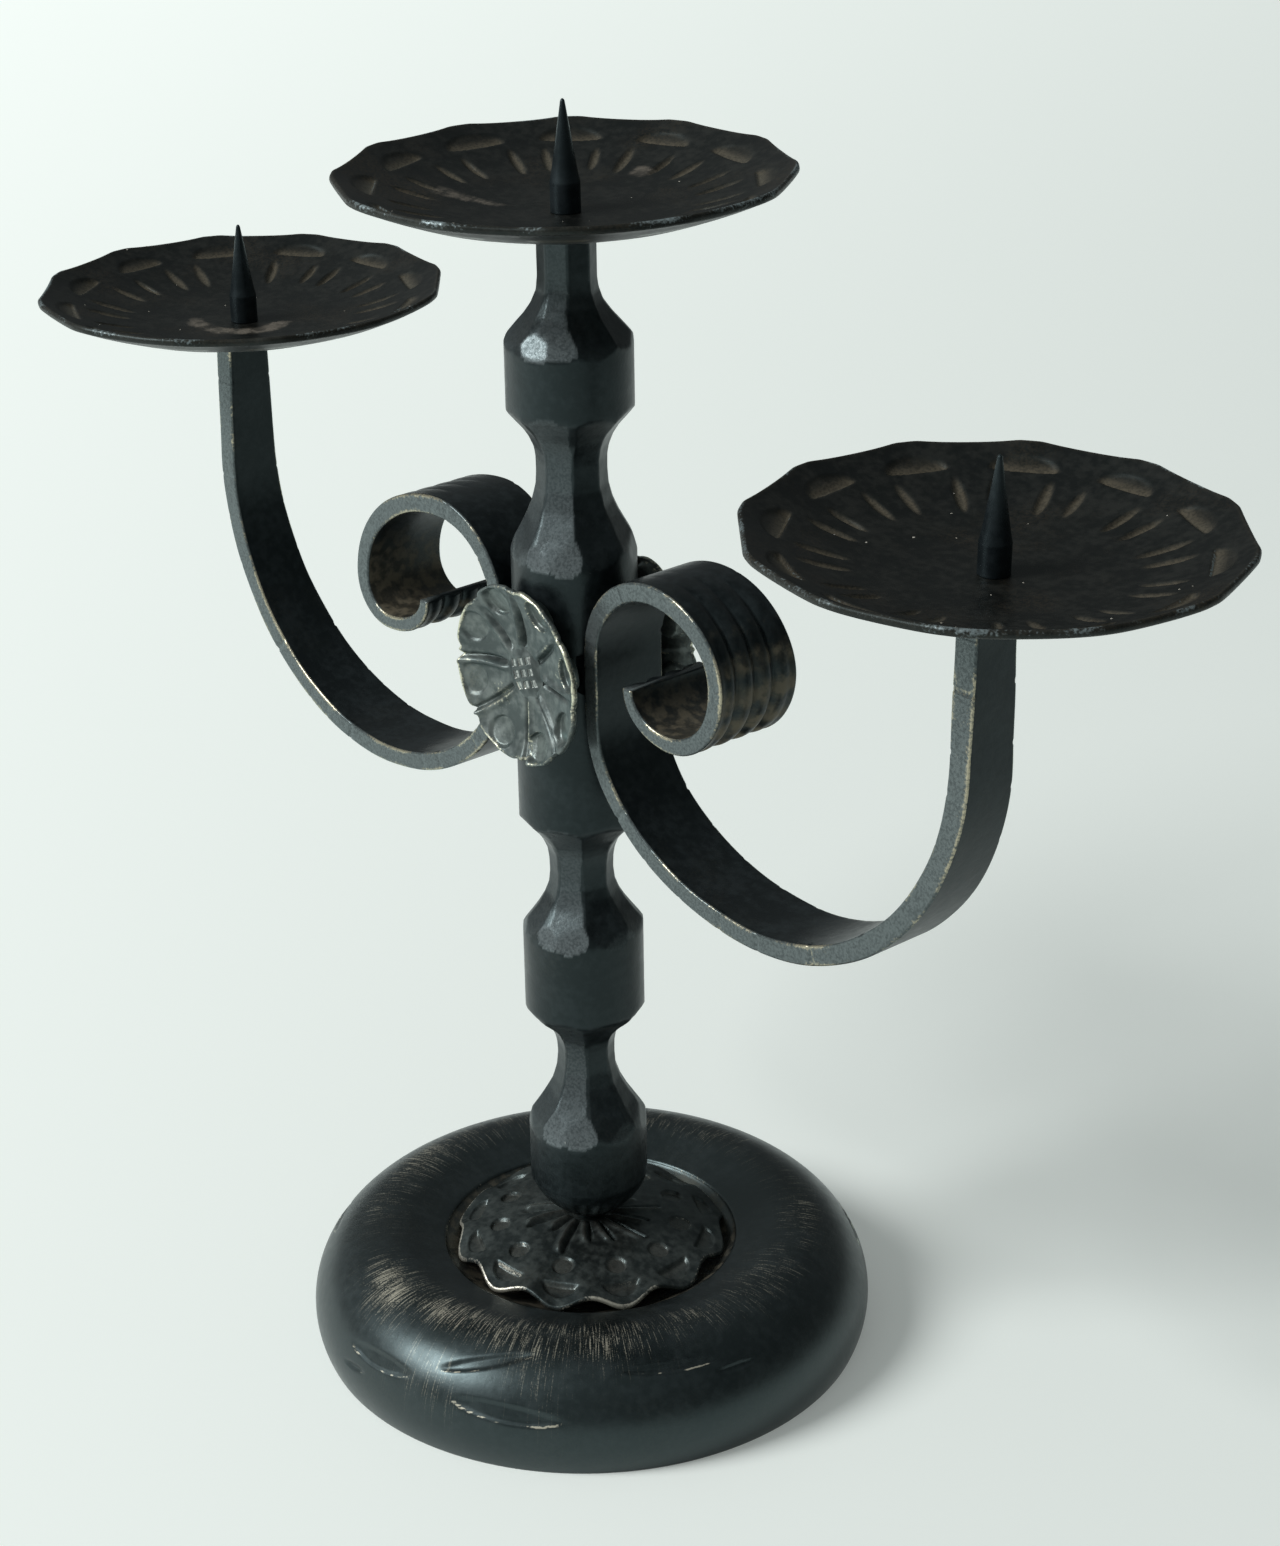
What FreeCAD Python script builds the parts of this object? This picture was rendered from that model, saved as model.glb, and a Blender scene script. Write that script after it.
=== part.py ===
import FreeCAD, Part

import math
import os

# Pricket candle stand of forged and hammered iron, in millimetres.
# The origin is on the floor under the middle of the base, +Z is up,
# the two arms reach along +X and -X, and the front rosette faces -Y.

# Cutting tools run this far past what they cut
OVERRUN = 2.0
# Radial clearance of a shank in its hole
SHANK_CLEARANCE = 0.05

# Base, a hollow pressed ring with a sunken well in its middle
BASE_SHEET = 2.0
BASE_TUBE_RADIUS = 20.0
BASE_TUBE_HEIGHT = 8.0
WELL_FLOOR_HEIGHT = 19.0
WELL_FILLET = 4.0

# Scalloped rosette over the well, domed upwards
BASE_ROSETTE_RADIUS = 35.5
BASE_ROSETTE_SCALLOP = 1.8
BASE_ROSETTE_LOBES = 12
BASE_ROSETTE_RISE = 6.2
BASE_ROSETTE_SHEET = 1.5
BASE_ROSETTE_FLAT = 6.0
BASE_ROSETTE_TURN = 5.0
# The rosette's edge hangs this far over the inner slope of the base's ring
BASE_ROSETTE_OVERHANG = 3.0
BASE_RING_RADIUS = BASE_ROSETTE_RADIUS + BASE_TUBE_RADIUS - BASE_ROSETTE_OVERHANG
BASE_DOT_COUNT = 11
BASE_DOT_RADIUS = 2.7
BASE_DOT_DEPTH = 0.5
BASE_DOT_RING_RADIUS = 23.5
BASE_DOT_TURN = 25.0
BASE_MOON_RADIUS = 4.4
BASE_MOON_DEPTH = 0.6
BASE_MOON_RING_RADIUS = 29.2

# Hidden fixing of the stem to the base
SPACER_HEIGHT = 10.1
TENON_RADIUS = 3.0
WASHER_RADIUS = 9.0
WASHER_THICKNESS = 1.6
NUT_ACROSS_FLATS = 10.0
NUT_HEIGHT = 5.0
TENON_TAIL = 1.0

# Stem, forged from one round bar with hammered waists
BAR_RADIUS = 15.0
STEM_FLAT_COUNT = 8
STEM_FLAT_TURN = -60.5

# Lengths along the stem, from its foot on the rosette up to the top pan
FOOT_NECK_RADIUS = 4.0
FOOT_NECK_LENGTH = 1.2
FOOT_BOWL_LENGTH = 12.4
FOOT_COLLAR_LENGTH = 14.0
WAIST_3_FLARE = 21.5
WAIST_3_SHOULDER = 15.0
LOWER_COLLAR_LENGTH = 19.0
WAIST_2_FLARE = 17.5
WAIST_2_SHOULDER = 17.0
MIDDLE_COLLAR_LENGTH = 64.0
WAIST_1_FLARE = 22.5
WAIST_1_SHOULDER = 16.8
UPPER_COLLAR_LENGTH = 12.2
NECK_FLARE = 17.0
NECK_LENGTH = 13.0

# Half thickness between opposite flats where each waist is thinnest
WAIST_3_HALF = 6.8
WAIST_2_HALF = 7.4
WAIST_1_HALF = 7.9
NECK_HALF = 6.5

# Heights along the stem
STEM_FOOT_HEIGHT = WELL_FLOOR_HEIGHT + SPACER_HEIGHT + BASE_ROSETTE_SHEET
FOOT_BOWL_TOP = STEM_FOOT_HEIGHT + FOOT_BOWL_LENGTH
WAIST_3_BOTTOM = FOOT_BOWL_TOP + FOOT_COLLAR_LENGTH
WAIST_3_MIDDLE = WAIST_3_BOTTOM + WAIST_3_FLARE
WAIST_3_TOP = WAIST_3_MIDDLE + WAIST_3_SHOULDER
WAIST_2_BOTTOM = WAIST_3_TOP + LOWER_COLLAR_LENGTH
WAIST_2_MIDDLE = WAIST_2_BOTTOM + WAIST_2_FLARE
WAIST_2_TOP = WAIST_2_MIDDLE + WAIST_2_SHOULDER
WAIST_1_BOTTOM = WAIST_2_TOP + MIDDLE_COLLAR_LENGTH
WAIST_1_MIDDLE = WAIST_1_BOTTOM + WAIST_1_FLARE
WAIST_1_TOP = WAIST_1_MIDDLE + WAIST_1_SHOULDER
NECK_BOTTOM = WAIST_1_TOP + UPPER_COLLAR_LENGTH
NECK_MIDDLE = NECK_BOTTOM + NECK_FLARE
STEM_TOP = NECK_MIDDLE + NECK_LENGTH

# Each waist runs out to the bar along these (height, depth) shares
FLARE_SHARES = ((0.0, 0.0), (0.31, 0.17), (0.49, 0.38), (0.66, 0.64), (0.84, 0.89), (1.0, 1.02))
SHOULDER_SHARES = ((0.0, 0.0), (0.3, 0.08), (0.52, 0.27), (0.72, 0.58), (0.87, 0.86), (1.0, 1.02))
# The bowl of the foot passes through this (radius, height) share
FOOT_BOWL_SHARE = (0.72, 0.38)

# Pans and the spikes that stand in them
PAN_RADIUS = 52.8
PAN_FLAT_INSET = 1.2
PAN_SIDES = 12
PAN_DEPTH = 10.8
PAN_SHEET = 1.7
PAN_FLOOR_RADIUS = 10.0
PAN_MOON_RADIUS = 6.6
PAN_MOON_DEPTH = 0.6
PAN_MOON_RING_RADIUS = 43.0
SPIKE_RADIUS = 3.5
SPIKE_SHANK = 6.0
SPIKE_HEIGHT = 25.5
SPIKE_TIP_RADIUS = 0.45
SPIKE_TAIL_RADIUS = 2.0
SPIKE_TAIL_LENGTH = 13.0
TAIL_HOLE_SPARE = 1.0

# The rosettes' middle stands this far above the waist below it,
# and every height of the arms is measured from there
ROSETTE_RISE = 39.2
ROSETTE_HEIGHT = WAIST_2_TOP + ROSETTE_RISE

# Where the pans stand: the side pans' rims, and the tilts and turns of all three
PAN_REACH = 134.0
RIGHT_RIM_RISE = 68.4
LEFT_RIM_RISE = 65.9
TOP_PAN_TILT = 0.0
RIGHT_PAN_TILT = 2.0
LEFT_PAN_TILT = 0.0
TOP_PAN_TURN = 19.0
SIDE_PAN_TURN = 5.0

# Flat bar of the arms along its length: (width, thickness, middle's place across)
BAR_AT_PAN = (11.8, 6.6, -1.3)
BAR_AT_BEND = (13.8, 6.0, -1.6)
BAR_AT_BOTTOM = (20.0, 4.8, 0.0)
BAR_AT_STEM = (20.8, 4.6, 0.0)
BAR_AT_CREST = (22.0, 4.9, 0.0)
BAR_AT_OUTSIDE = (23.5, 4.7, 0.0)
BAR_AT_CURL = (24.0, 3.9, 0.0)
BAR_AT_TIP = (24.0, 3.2, 0.0)
QUARTER_SECTION_COUNT = 5

# Right arm, drawn along the middle of the bar
RIGHT_STRAIGHT = 38.1
RIGHT_BOTTOM = (72.0, -45.8)
RIGHT_STEM_LOW = -8.2
RIGHT_STEM_HIGH = 6.8
RIGHT_CREST = (40.0, 29.2)
RIGHT_OUTSIDE = (62.0, 11.6)
RIGHT_CURL = (45.6, -5.2)
RIGHT_TIP = (32.3, 4.4)

# Left arm, drawn the same way and then mirrored
LEFT_STRAIGHT = 34.6
LEFT_BOTTOM = (70.0, -44.2)
LEFT_STEM_LOW = -4.2
LEFT_STEM_HIGH = 7.8
LEFT_CREST = (38.5, 30.2)
LEFT_OUTSIDE = (70.4, 4.8)
LEFT_CURL = (60.0, -5.2)
LEFT_TIP = (44.8, 4.4)

# Welds of the arms to the stem, hidden behind the rosettes
WELD_INNER = 5.5
WELD_OUTER = 9.6
WELD_LOW = -3.2
WELD_HIGH = 5.8

# Front and back rosettes and the rivet through them
ROSETTE_RADIUS = 22.4
ROSETTE_SCALLOP = 1.1
ROSETTE_LOBES = 8
ROSETTE_DEPTH = 4.0
ROSETTE_SHEET = 1.4
ROSETTE_FLAT = 7.4
ROSETTE_TURN = 66.0
ROSETTE_DENT_RADIUS = 4.3
ROSETTE_DENT_DEPTH = 0.7
ROSETTE_DENT_RING_RADIUS = 18.0
SPOT_FACE_DEPTH = 0.6
RIVET_RADIUS = 2.5
RIVET_HEAD_RADIUS = 6.6
RIVET_HEAD_HEIGHT = 0.8
RIVET_HEAD_BEVEL = 0.5
GRID_COUNT = 3
GRID_SQUARE = 1.9
GRID_PITCH = 2.8
GRID_DEPTH = 0.4
GRID_TURN = 21.0

UP = FreeCAD.Vector(0, 0, 1)
ALONG = FreeCAD.Vector(1, 0, 0)
ACROSS = FreeCAD.Vector(0, 1, 0)
CENTRE = FreeCAD.Vector(0, 0, 0)
FULL_TURN = 360.0
HALF_TURN = 180.0
QUARTER_TURN = 90.0


def plane_point(across, height):
    """Return the point of the XZ plane at a distance across and a height."""
    return FreeCAD.Vector(across, 0, height)


def round_point(centre, radius, angle):
    """Return the point of a circle in the XZ plane at an angle in degrees."""
    turn = math.radians(angle)
    return centre + plane_point(radius * math.cos(turn), radius * math.sin(turn))


def arc_edge(centre, radius, first, last):
    """Return the arc of a circle in the XZ plane between two angles."""
    angles = (first, (first + last) / 2, last)
    return Part.Arc(*[round_point(centre, radius, angle) for angle in angles]).toShape()


def joined(*edges):
    """Return the edges with straight lines drawn where neighbours don't meet, as a face."""
    loop = []
    for index, edge in enumerate(edges):
        loop.append(edge)
        end = edge.Vertexes[-1].Point
        start = edges[(index + 1) % len(edges)].Vertexes[0].Point
        if end.distanceToPoint(start) > Part.Precision.confusion():
            loop.append(Part.makeLine(end, start))
    return Part.Face(Part.Wire(loop))


def turned(shape, angle):
    """Return a copy of a shape turned about the vertical axis."""
    copy = shape.copy()
    copy.rotate(CENTRE, UP, angle)
    return copy


def upright_cylinder(radius, bottom, top):
    """Return a cylinder on the vertical axis between two heights."""
    return Part.makeCylinder(radius, top - bottom, plane_point(0, bottom), UP)


def evenly_turned(shape, count):
    """Return copies of a shape spread evenly about the vertical axis."""
    return [turned(shape, FULL_TURN * index / count) for index in range(count)]


# Hammered sheet dishes

def dish_arc(flat, rim, depth):
    """Return the radius of the arc that climbs a depth from the flat's edge to the rim."""
    run = rim - flat
    return (run * run + depth * depth) / (2 * depth)


def dish_blank(flat, rim, depth, sheet, hole):
    """Return a round dish, hollow side up, on the plane z = 0 and a little too wide."""
    climb = dish_arc(flat, rim, depth)
    middle = plane_point(flat, sheet + climb)
    sweep = math.degrees(math.asin((rim + OVERRUN - flat) / climb))
    inside = arc_edge(middle, climb, sweep - QUARTER_TURN, -QUARTER_TURN)
    outside = arc_edge(middle, climb + sheet, -QUARTER_TURN, sweep - QUARTER_TURN)
    bore = Part.makeLine(plane_point(hole, sheet), plane_point(hole, 0))
    return joined(inside, bore, outside).revolve(CENTRE, UP, FULL_TURN)


def dish_surface(flat, rim, depth, sheet, reach):
    """Return the point of the dish's hollow side at a radius and the direction out of it."""
    climb = dish_arc(flat, rim, depth)
    middle = plane_point(flat, sheet + climb)
    drop = math.sqrt(climb * climb - (reach - flat) ** 2)
    point = plane_point(reach, middle.z - drop)
    return point, (middle - point).normalize()


def dent(point, normal, radius, depth):
    """Return the ball that presses a round dent into a sheet."""
    ball = (radius * radius + depth * depth) / (2 * depth)
    return Part.makeSphere(ball, point + normal * (ball - depth))


def half_moon(point, normal, radius, depth):
    """Return the tool of a half-moon punch, straight on the side of the axis."""
    ball = dent(point, normal, radius, depth)
    reach = ball.BoundBox.DiagonalLength
    keep = Part.makeBox(reach, reach, reach, FreeCAD.Vector(point.x, -reach / 2, point.z - reach / 2))
    return ball.common(keep)


def lobed_prism(radius, scallop, lobes, turn, height):
    """Return a tall prism with a scalloped outline about the vertical axis."""
    points = []
    for index in range(2 * lobes):
        reach = radius - scallop * (index % 2)
        angle = math.radians(turn + HALF_TURN * index / lobes)
        points.append(FreeCAD.Vector(reach * math.cos(angle), reach * math.sin(angle), -height))
    outline = Part.BSplineCurve()
    outline.interpolate(Points=points, PeriodicFlag=True)
    return Part.Face(Part.Wire(outline.toShape())).extrude(UP * (2 * height))


def sided_prism(radius, inset, sides, turn, height):
    """Return a tall round prism whose side has been beaten into flats."""
    corner = (radius - inset) / math.cos(math.pi / sides)
    points = []
    for index in range(sides + 1):
        angle = math.radians(turn + FULL_TURN * index / sides)
        points.append(FreeCAD.Vector(corner * math.cos(angle), corner * math.sin(angle), -height))
    flats = Part.Face(Part.makePolygon(points)).extrude(UP * (2 * height))
    return flats.common(upright_cylinder(radius, -height, height))


# Base

def base_skin(inset):
    """Return the two arcs of the base's outline as (middle, radius, first angle, last angle)."""
    tube = BASE_TUBE_RADIUS - inset
    fillet = WELL_FILLET + inset
    fillet_height = WELL_FLOOR_HEIGHT + WELL_FILLET
    climb = fillet_height - BASE_TUBE_HEIGHT
    run = math.sqrt((tube + fillet) ** 2 - climb ** 2)
    floor_angle = -math.degrees(math.asin(BASE_TUBE_HEIGHT / tube))
    meeting = math.degrees(math.atan2(climb, -run))
    ring = (plane_point(BASE_RING_RADIUS, BASE_TUBE_HEIGHT), tube, floor_angle, meeting)
    bend = (plane_point(BASE_RING_RADIUS - run, fillet_height), fillet,
            meeting - HALF_TURN, -QUARTER_TURN)
    return ring, bend


def base_shell():
    """Return the hollow base with the tenon's hole in its well."""
    hole = TENON_RADIUS + SHANK_CLEARANCE
    under = WELL_FLOOR_HEIGHT - BASE_SHEET
    edges = [arc_edge(*arc) for arc in base_skin(0)]
    edges.append(Part.makeLine(plane_point(hole, WELL_FLOOR_HEIGHT), plane_point(hole, under)))
    for middle, radius, first, last in reversed(base_skin(BASE_SHEET)):
        edges.append(arc_edge(middle, radius, last, first))
    return joined(*edges).revolve(CENTRE, UP, FULL_TURN)


def base_rosette():
    """Return the domed rosette over the well, punched with dots and half moons."""
    sizes = (BASE_ROSETTE_FLAT, BASE_ROSETTE_RADIUS, BASE_ROSETTE_RISE, BASE_ROSETTE_SHEET)
    dome = dish_blank(*sizes, TENON_RADIUS + SHANK_CLEARANCE)
    dome = dome.common(lobed_prism(BASE_ROSETTE_RADIUS, BASE_ROSETTE_SCALLOP, BASE_ROSETTE_LOBES,
                                   -BASE_ROSETTE_TURN, BASE_ROSETTE_RADIUS))
    outer = (BASE_ROSETTE_FLAT, BASE_ROSETTE_RADIUS, BASE_ROSETTE_RISE, 0)
    point, normal = dish_surface(*outer, BASE_DOT_RING_RADIUS)
    dot = turned(dent(point, -normal, BASE_DOT_RADIUS, BASE_DOT_DEPTH), -BASE_DOT_TURN)
    point, normal = dish_surface(*outer, BASE_MOON_RING_RADIUS)
    moon = turned(half_moon(point, -normal, BASE_MOON_RADIUS, BASE_MOON_DEPTH), -BASE_ROSETTE_TURN)
    dome = dome.cut(evenly_turned(dot, BASE_DOT_COUNT))
    dome = dome.cut(evenly_turned(moon, BASE_ROSETTE_LOBES))
    dome.rotate(CENTRE, ALONG, HALF_TURN)
    dome.translate(plane_point(0, STEM_FOOT_HEIGHT))
    return dome


def base_spacer():
    """Return the hidden sleeve that carries the rosette's middle."""
    bottom = WELL_FLOOR_HEIGHT
    top = STEM_FOOT_HEIGHT - BASE_ROSETTE_SHEET
    bore = upright_cylinder(TENON_RADIUS + SHANK_CLEARANCE, bottom - OVERRUN, top + OVERRUN)
    return upright_cylinder(BASE_ROSETTE_FLAT, bottom, top).cut(bore)


def base_washer():
    """Return the washer against the underside of the well."""
    top = WELL_FLOOR_HEIGHT - BASE_SHEET
    bottom = top - WASHER_THICKNESS
    bore = upright_cylinder(TENON_RADIUS + SHANK_CLEARANCE, bottom - OVERRUN, top + OVERRUN)
    return upright_cylinder(WASHER_RADIUS, bottom, top).cut(bore)


def base_nut():
    """Return the hexagonal nut on the tenon's end."""
    top = WELL_FLOOR_HEIGHT - BASE_SHEET - WASHER_THICKNESS
    bottom = top - NUT_HEIGHT
    bore = upright_cylinder(TENON_RADIUS + SHANK_CLEARANCE, bottom - OVERRUN, top + OVERRUN)
    sides = 6
    corner = NUT_ACROSS_FLATS / 2 / math.cos(math.pi / sides)
    points = []
    for index in range(sides + 1):
        angle = 2 * math.pi * index / sides
        points.append(FreeCAD.Vector(corner * math.cos(angle), corner * math.sin(angle), bottom))
    return Part.Face(Part.makePolygon(points)).extrude(UP * NUT_HEIGHT).cut(bore)


# Stem

def waist_curve(half, middle, end, shares):
    """Return a waist's curve from its thinnest place out to the bar at the end height."""
    points = []
    for along, out in shares:
        reach = half + (BAR_RADIUS - half) * out
        points.append(plane_point(reach, middle + (end - middle) * along))
    if end < middle:
        points.reverse()
    curve = Part.BSplineCurve()
    curve.interpolate(Points=points)
    return curve.toShape()


def hammered_slab():
    """Return the slab between one pair of opposite flats, waisted like the stem."""
    wide = BAR_RADIUS + OVERRUN
    foot = tenon_end() - OVERRUN
    top = STEM_TOP + OVERRUN
    edges = [Part.makeLine(plane_point(0, foot), plane_point(wide, foot))]
    waists = ((WAIST_3_HALF, WAIST_3_BOTTOM, WAIST_3_MIDDLE, WAIST_3_TOP),
              (WAIST_2_HALF, WAIST_2_BOTTOM, WAIST_2_MIDDLE, WAIST_2_TOP),
              (WAIST_1_HALF, WAIST_1_BOTTOM, WAIST_1_MIDDLE, WAIST_1_TOP))
    for half, bottom, middle, high in waists:
        edges.append(Part.makeLine(edges[-1].Vertexes[-1].Point, plane_point(wide, bottom)))
        edges.append(waist_curve(half, middle, bottom, FLARE_SHARES))
        edges.append(waist_curve(half, middle, high, SHOULDER_SHARES))
        edges.append(Part.makeLine(edges[-1].Vertexes[-1].Point, plane_point(wide, high)))
    edges.append(Part.makeLine(plane_point(wide, WAIST_1_TOP), plane_point(wide, NECK_BOTTOM)))
    edges.append(waist_curve(NECK_HALF, NECK_MIDDLE, NECK_BOTTOM, FLARE_SHARES))
    edges.append(Part.makeLine(plane_point(NECK_HALF, NECK_MIDDLE), plane_point(NECK_HALF, top)))
    edges.append(Part.makeLine(plane_point(NECK_HALF, top), plane_point(0, top)))
    half_slab = joined(*edges).extrude(ACROSS * (2 * wide))
    half_slab.translate(ACROSS * -wide)
    return half_slab.fuse(half_slab.mirror(CENTRE, ALONG)).removeSplitter()


def tenon_end():
    """Return the height of the tenon's lower end, just under the nut."""
    return WELL_FLOOR_HEIGHT - BASE_SHEET - WASHER_THICKNESS - NUT_HEIGHT - TENON_TAIL


def stem_envelope():
    """Return the stem before hammering: tenon, foot bowl and round bar."""
    neck_top = STEM_FOOT_HEIGHT + FOOT_NECK_LENGTH
    across, up = FOOT_BOWL_SHARE
    bowl = Part.Arc(plane_point(FOOT_NECK_RADIUS, neck_top),
                    plane_point(BAR_RADIUS * across, neck_top + (FOOT_BOWL_TOP - neck_top) * up),
                    plane_point(BAR_RADIUS, FOOT_BOWL_TOP)).toShape()
    tenon = Part.makePolygon([plane_point(0, STEM_TOP), plane_point(0, tenon_end()),
                              plane_point(TENON_RADIUS, tenon_end()),
                              plane_point(TENON_RADIUS, STEM_FOOT_HEIGHT),
                              plane_point(FOOT_NECK_RADIUS, STEM_FOOT_HEIGHT),
                              plane_point(FOOT_NECK_RADIUS, neck_top)])
    shaft = Part.makePolygon([plane_point(BAR_RADIUS, FOOT_BOWL_TOP),
                              plane_point(BAR_RADIUS, STEM_TOP), plane_point(0, STEM_TOP)])
    outline = Part.Wire(tenon.Edges + [bowl] + shaft.Edges)
    return Part.Face(outline).revolve(CENTRE, UP, FULL_TURN)


def stem():
    """Return the hammered stem with its tenon, tail hole, spot faces and rivet hole."""
    body = stem_envelope()
    slab = hammered_slab()
    for index in range(STEM_FLAT_COUNT // 2):
        body = body.common(turned(slab, STEM_FLAT_TURN + FULL_TURN * index / STEM_FLAT_COUNT))
    tail = upright_cylinder(SPIKE_TAIL_RADIUS + SHANK_CLEARANCE, STEM_TOP - tail_hole_depth(),
                            STEM_TOP + OVERRUN)
    reach = BAR_RADIUS + OVERRUN
    rivet = Part.makeCylinder(RIVET_RADIUS + SHANK_CLEARANCE, 2 * reach,
                              FreeCAD.Vector(0, -reach, ROSETTE_HEIGHT), ACROSS)
    tools = [tail, rivet]
    # Each spot face is as wide as the rosette's back needs to bend clear of the bar
    back_arc = dish_arc(ROSETTE_FLAT, ROSETTE_RADIUS, ROSETTE_DEPTH) + ROSETTE_SHEET
    clear = ROSETTE_FLAT + math.sqrt(2 * back_arc * SPOT_FACE_DEPTH)
    for side in (-1, 1):
        seat = FreeCAD.Vector(0, side * rosette_seat(), ROSETTE_HEIGHT)
        tools.append(Part.makeCylinder(clear, BAR_RADIUS, seat, ACROSS * side))
    return body.cut(tools)


def tail_hole_depth():
    """Return how deep a spike's tail hole goes below the pan's seat."""
    return SPIKE_TAIL_LENGTH - PAN_SHEET + TAIL_HOLE_SPARE


# Arms

def quarter(start, end, leaves_upright):
    """Return (point, direction) stations along a quarter of an ellipse, without its start."""
    stations = []
    run, rise = end[0] - start[0], end[1] - start[1]
    for index in range(1, QUARTER_SECTION_COUNT + 1):
        angle = math.pi / 2 * index / QUARTER_SECTION_COUNT
        slow, fast = 1 - math.cos(angle), math.sin(angle)
        if leaves_upright:
            point = (start[0] + run * slow, start[1] + rise * fast)
            heading = (run * math.sin(angle), rise * math.cos(angle))
        else:
            point = (start[0] + run * fast, start[1] + rise * slow)
            heading = (run * math.cos(angle), rise * math.sin(angle))
        stations.append((point, heading))
    return stations


def bar_section(point, heading, width, thickness, place):
    """Return the bar's rectangle across its path at a station."""
    middle = plane_point(*point) + FreeCAD.Vector(0, place, 0)
    side = plane_point(-heading[1], heading[0]).normalize() * (thickness / 2)
    edge = ACROSS * (width / 2)
    corners = [middle + side + edge, middle - side + edge,
               middle - side - edge, middle + side - edge, middle + side + edge]
    return Part.makePolygon(corners)


def bar_run(stations, first, last):
    """Return the bar through stations while its section changes from first to last."""
    sections = []
    for index, (point, heading) in enumerate(stations):
        share = index / (len(stations) - 1)
        sizes = [start + (end - start) * share for start, end in zip(first, last)]
        sections.append(bar_section(point, heading, *sizes))
    return Part.makeLoft(sections, True, len(sections) == 2)


def arm(seat, tilt, straight, bottom, stem_low, stem_high, crest, outside, curl, tip):
    """Return one arm on the +X side, from its pan's seat down, round and up into its scroll.

    Its heights are measured from the rosettes' middle.
    """
    lean = math.radians(tilt)
    up, down = (0, 1), (0, -1)
    stem_line = BAR_RADIUS + BAR_AT_STEM[1] / 2
    bend = (seat[0], seat[1] - straight)
    low, high = (stem_line, stem_low), (stem_line, stem_high)
    outer = quarter(bend, bottom, True)
    inner = quarter(bottom, low, False)
    runs = [
        bar_run([(seat, (-math.sin(lean), -math.cos(lean))), (bend, down)], BAR_AT_PAN, BAR_AT_BEND),
        bar_run([(bend, down)] + outer, BAR_AT_BEND, BAR_AT_BOTTOM),
        bar_run([outer[-1]] + inner, BAR_AT_BOTTOM, BAR_AT_STEM),
        bar_run([(low, up), (high, up)], BAR_AT_STEM, BAR_AT_STEM),
    ]
    legs = ((high, crest, True, BAR_AT_STEM, BAR_AT_CREST),
            (crest, outside, False, BAR_AT_CREST, BAR_AT_OUTSIDE),
            (outside, curl, True, BAR_AT_OUTSIDE, BAR_AT_CURL),
            (curl, tip, False, BAR_AT_CURL, BAR_AT_TIP))
    last = (high, up)
    for start, end, leaves_upright, first_size, last_size in legs:
        stations = [last] + quarter(start, end, leaves_upright)
        runs.append(bar_run(stations, first_size, last_size))
        last = stations[-1]
    bar = runs[0].fuse(runs[1:]).removeSplitter()
    axis = FreeCAD.Vector(math.sin(lean), 0, math.cos(lean))
    mouth = plane_point(*seat) + axis * OVERRUN
    hole = Part.makeCylinder(SPIKE_TAIL_RADIUS + SHANK_CLEARANCE, tail_hole_depth() + OVERRUN,
                             mouth, -axis)
    bar = bar.cut(hole)
    bar.translate(plane_point(0, ROSETTE_HEIGHT))
    return bar


def arm_right():
    """Return the right arm."""
    return arm(side_seat(RIGHT_RIM_RISE, RIGHT_PAN_TILT), RIGHT_PAN_TILT, RIGHT_STRAIGHT,
               RIGHT_BOTTOM, RIGHT_STEM_LOW, RIGHT_STEM_HIGH, RIGHT_CREST, RIGHT_OUTSIDE,
               RIGHT_CURL, RIGHT_TIP)


def arm_left():
    """Return the left arm, drawn on the +X side and mirrored."""
    bar = arm(side_seat(LEFT_RIM_RISE, LEFT_PAN_TILT), LEFT_PAN_TILT, LEFT_STRAIGHT,
              LEFT_BOTTOM, LEFT_STEM_LOW, LEFT_STEM_HIGH, LEFT_CREST, LEFT_OUTSIDE,
              LEFT_CURL, LEFT_TIP)
    return bar.mirror(CENTRE, ALONG)


def arm_welds():
    """Return the four weld beads in the grooves between the stem and the arms."""
    core = upright_cylinder(BAR_RADIUS, WELD_LOW - OVERRUN, WELD_HIGH + OVERRUN)
    bead = Part.makeBox(BAR_RADIUS / 2, WELD_OUTER - WELD_INNER, WELD_HIGH - WELD_LOW,
                        FreeCAD.Vector(BAR_RADIUS / 2, WELD_INNER, WELD_LOW)).cut(core)
    bead.translate(plane_point(0, ROSETTE_HEIGHT))
    pair = [bead, bead.mirror(CENTRE, ACROSS)]
    return Part.makeCompound(pair + [weld.mirror(CENTRE, ALONG) for weld in pair])


# Rosettes on the stem

def rosette_seat():
    """Return how far from the stem's axis the rosettes' backs lie."""
    return BAR_RADIUS - SPOT_FACE_DEPTH


def small_rosette(side):
    """Return the dished, lobed rosette on the -Y (-1) or the +Y (1) side of the stem."""
    sizes = (ROSETTE_FLAT, ROSETTE_RADIUS, ROSETTE_DEPTH, ROSETTE_SHEET)
    cup = dish_blank(*sizes, RIVET_RADIUS + SHANK_CLEARANCE)
    cup = cup.common(lobed_prism(ROSETTE_RADIUS, ROSETTE_SCALLOP, ROSETTE_LOBES, ROSETTE_TURN,
                                 ROSETTE_RADIUS))
    point, normal = dish_surface(*sizes, ROSETTE_DENT_RING_RADIUS)
    dimple = turned(dent(point, normal, ROSETTE_DENT_RADIUS, ROSETTE_DENT_DEPTH), ROSETTE_TURN)
    cup = cup.cut(evenly_turned(dimple, ROSETTE_LOBES))
    cup.rotate(CENTRE, ALONG, -side * QUARTER_TURN)
    cup.translate(FreeCAD.Vector(0, side * rosette_seat(), ROSETTE_HEIGHT))
    return cup


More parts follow.
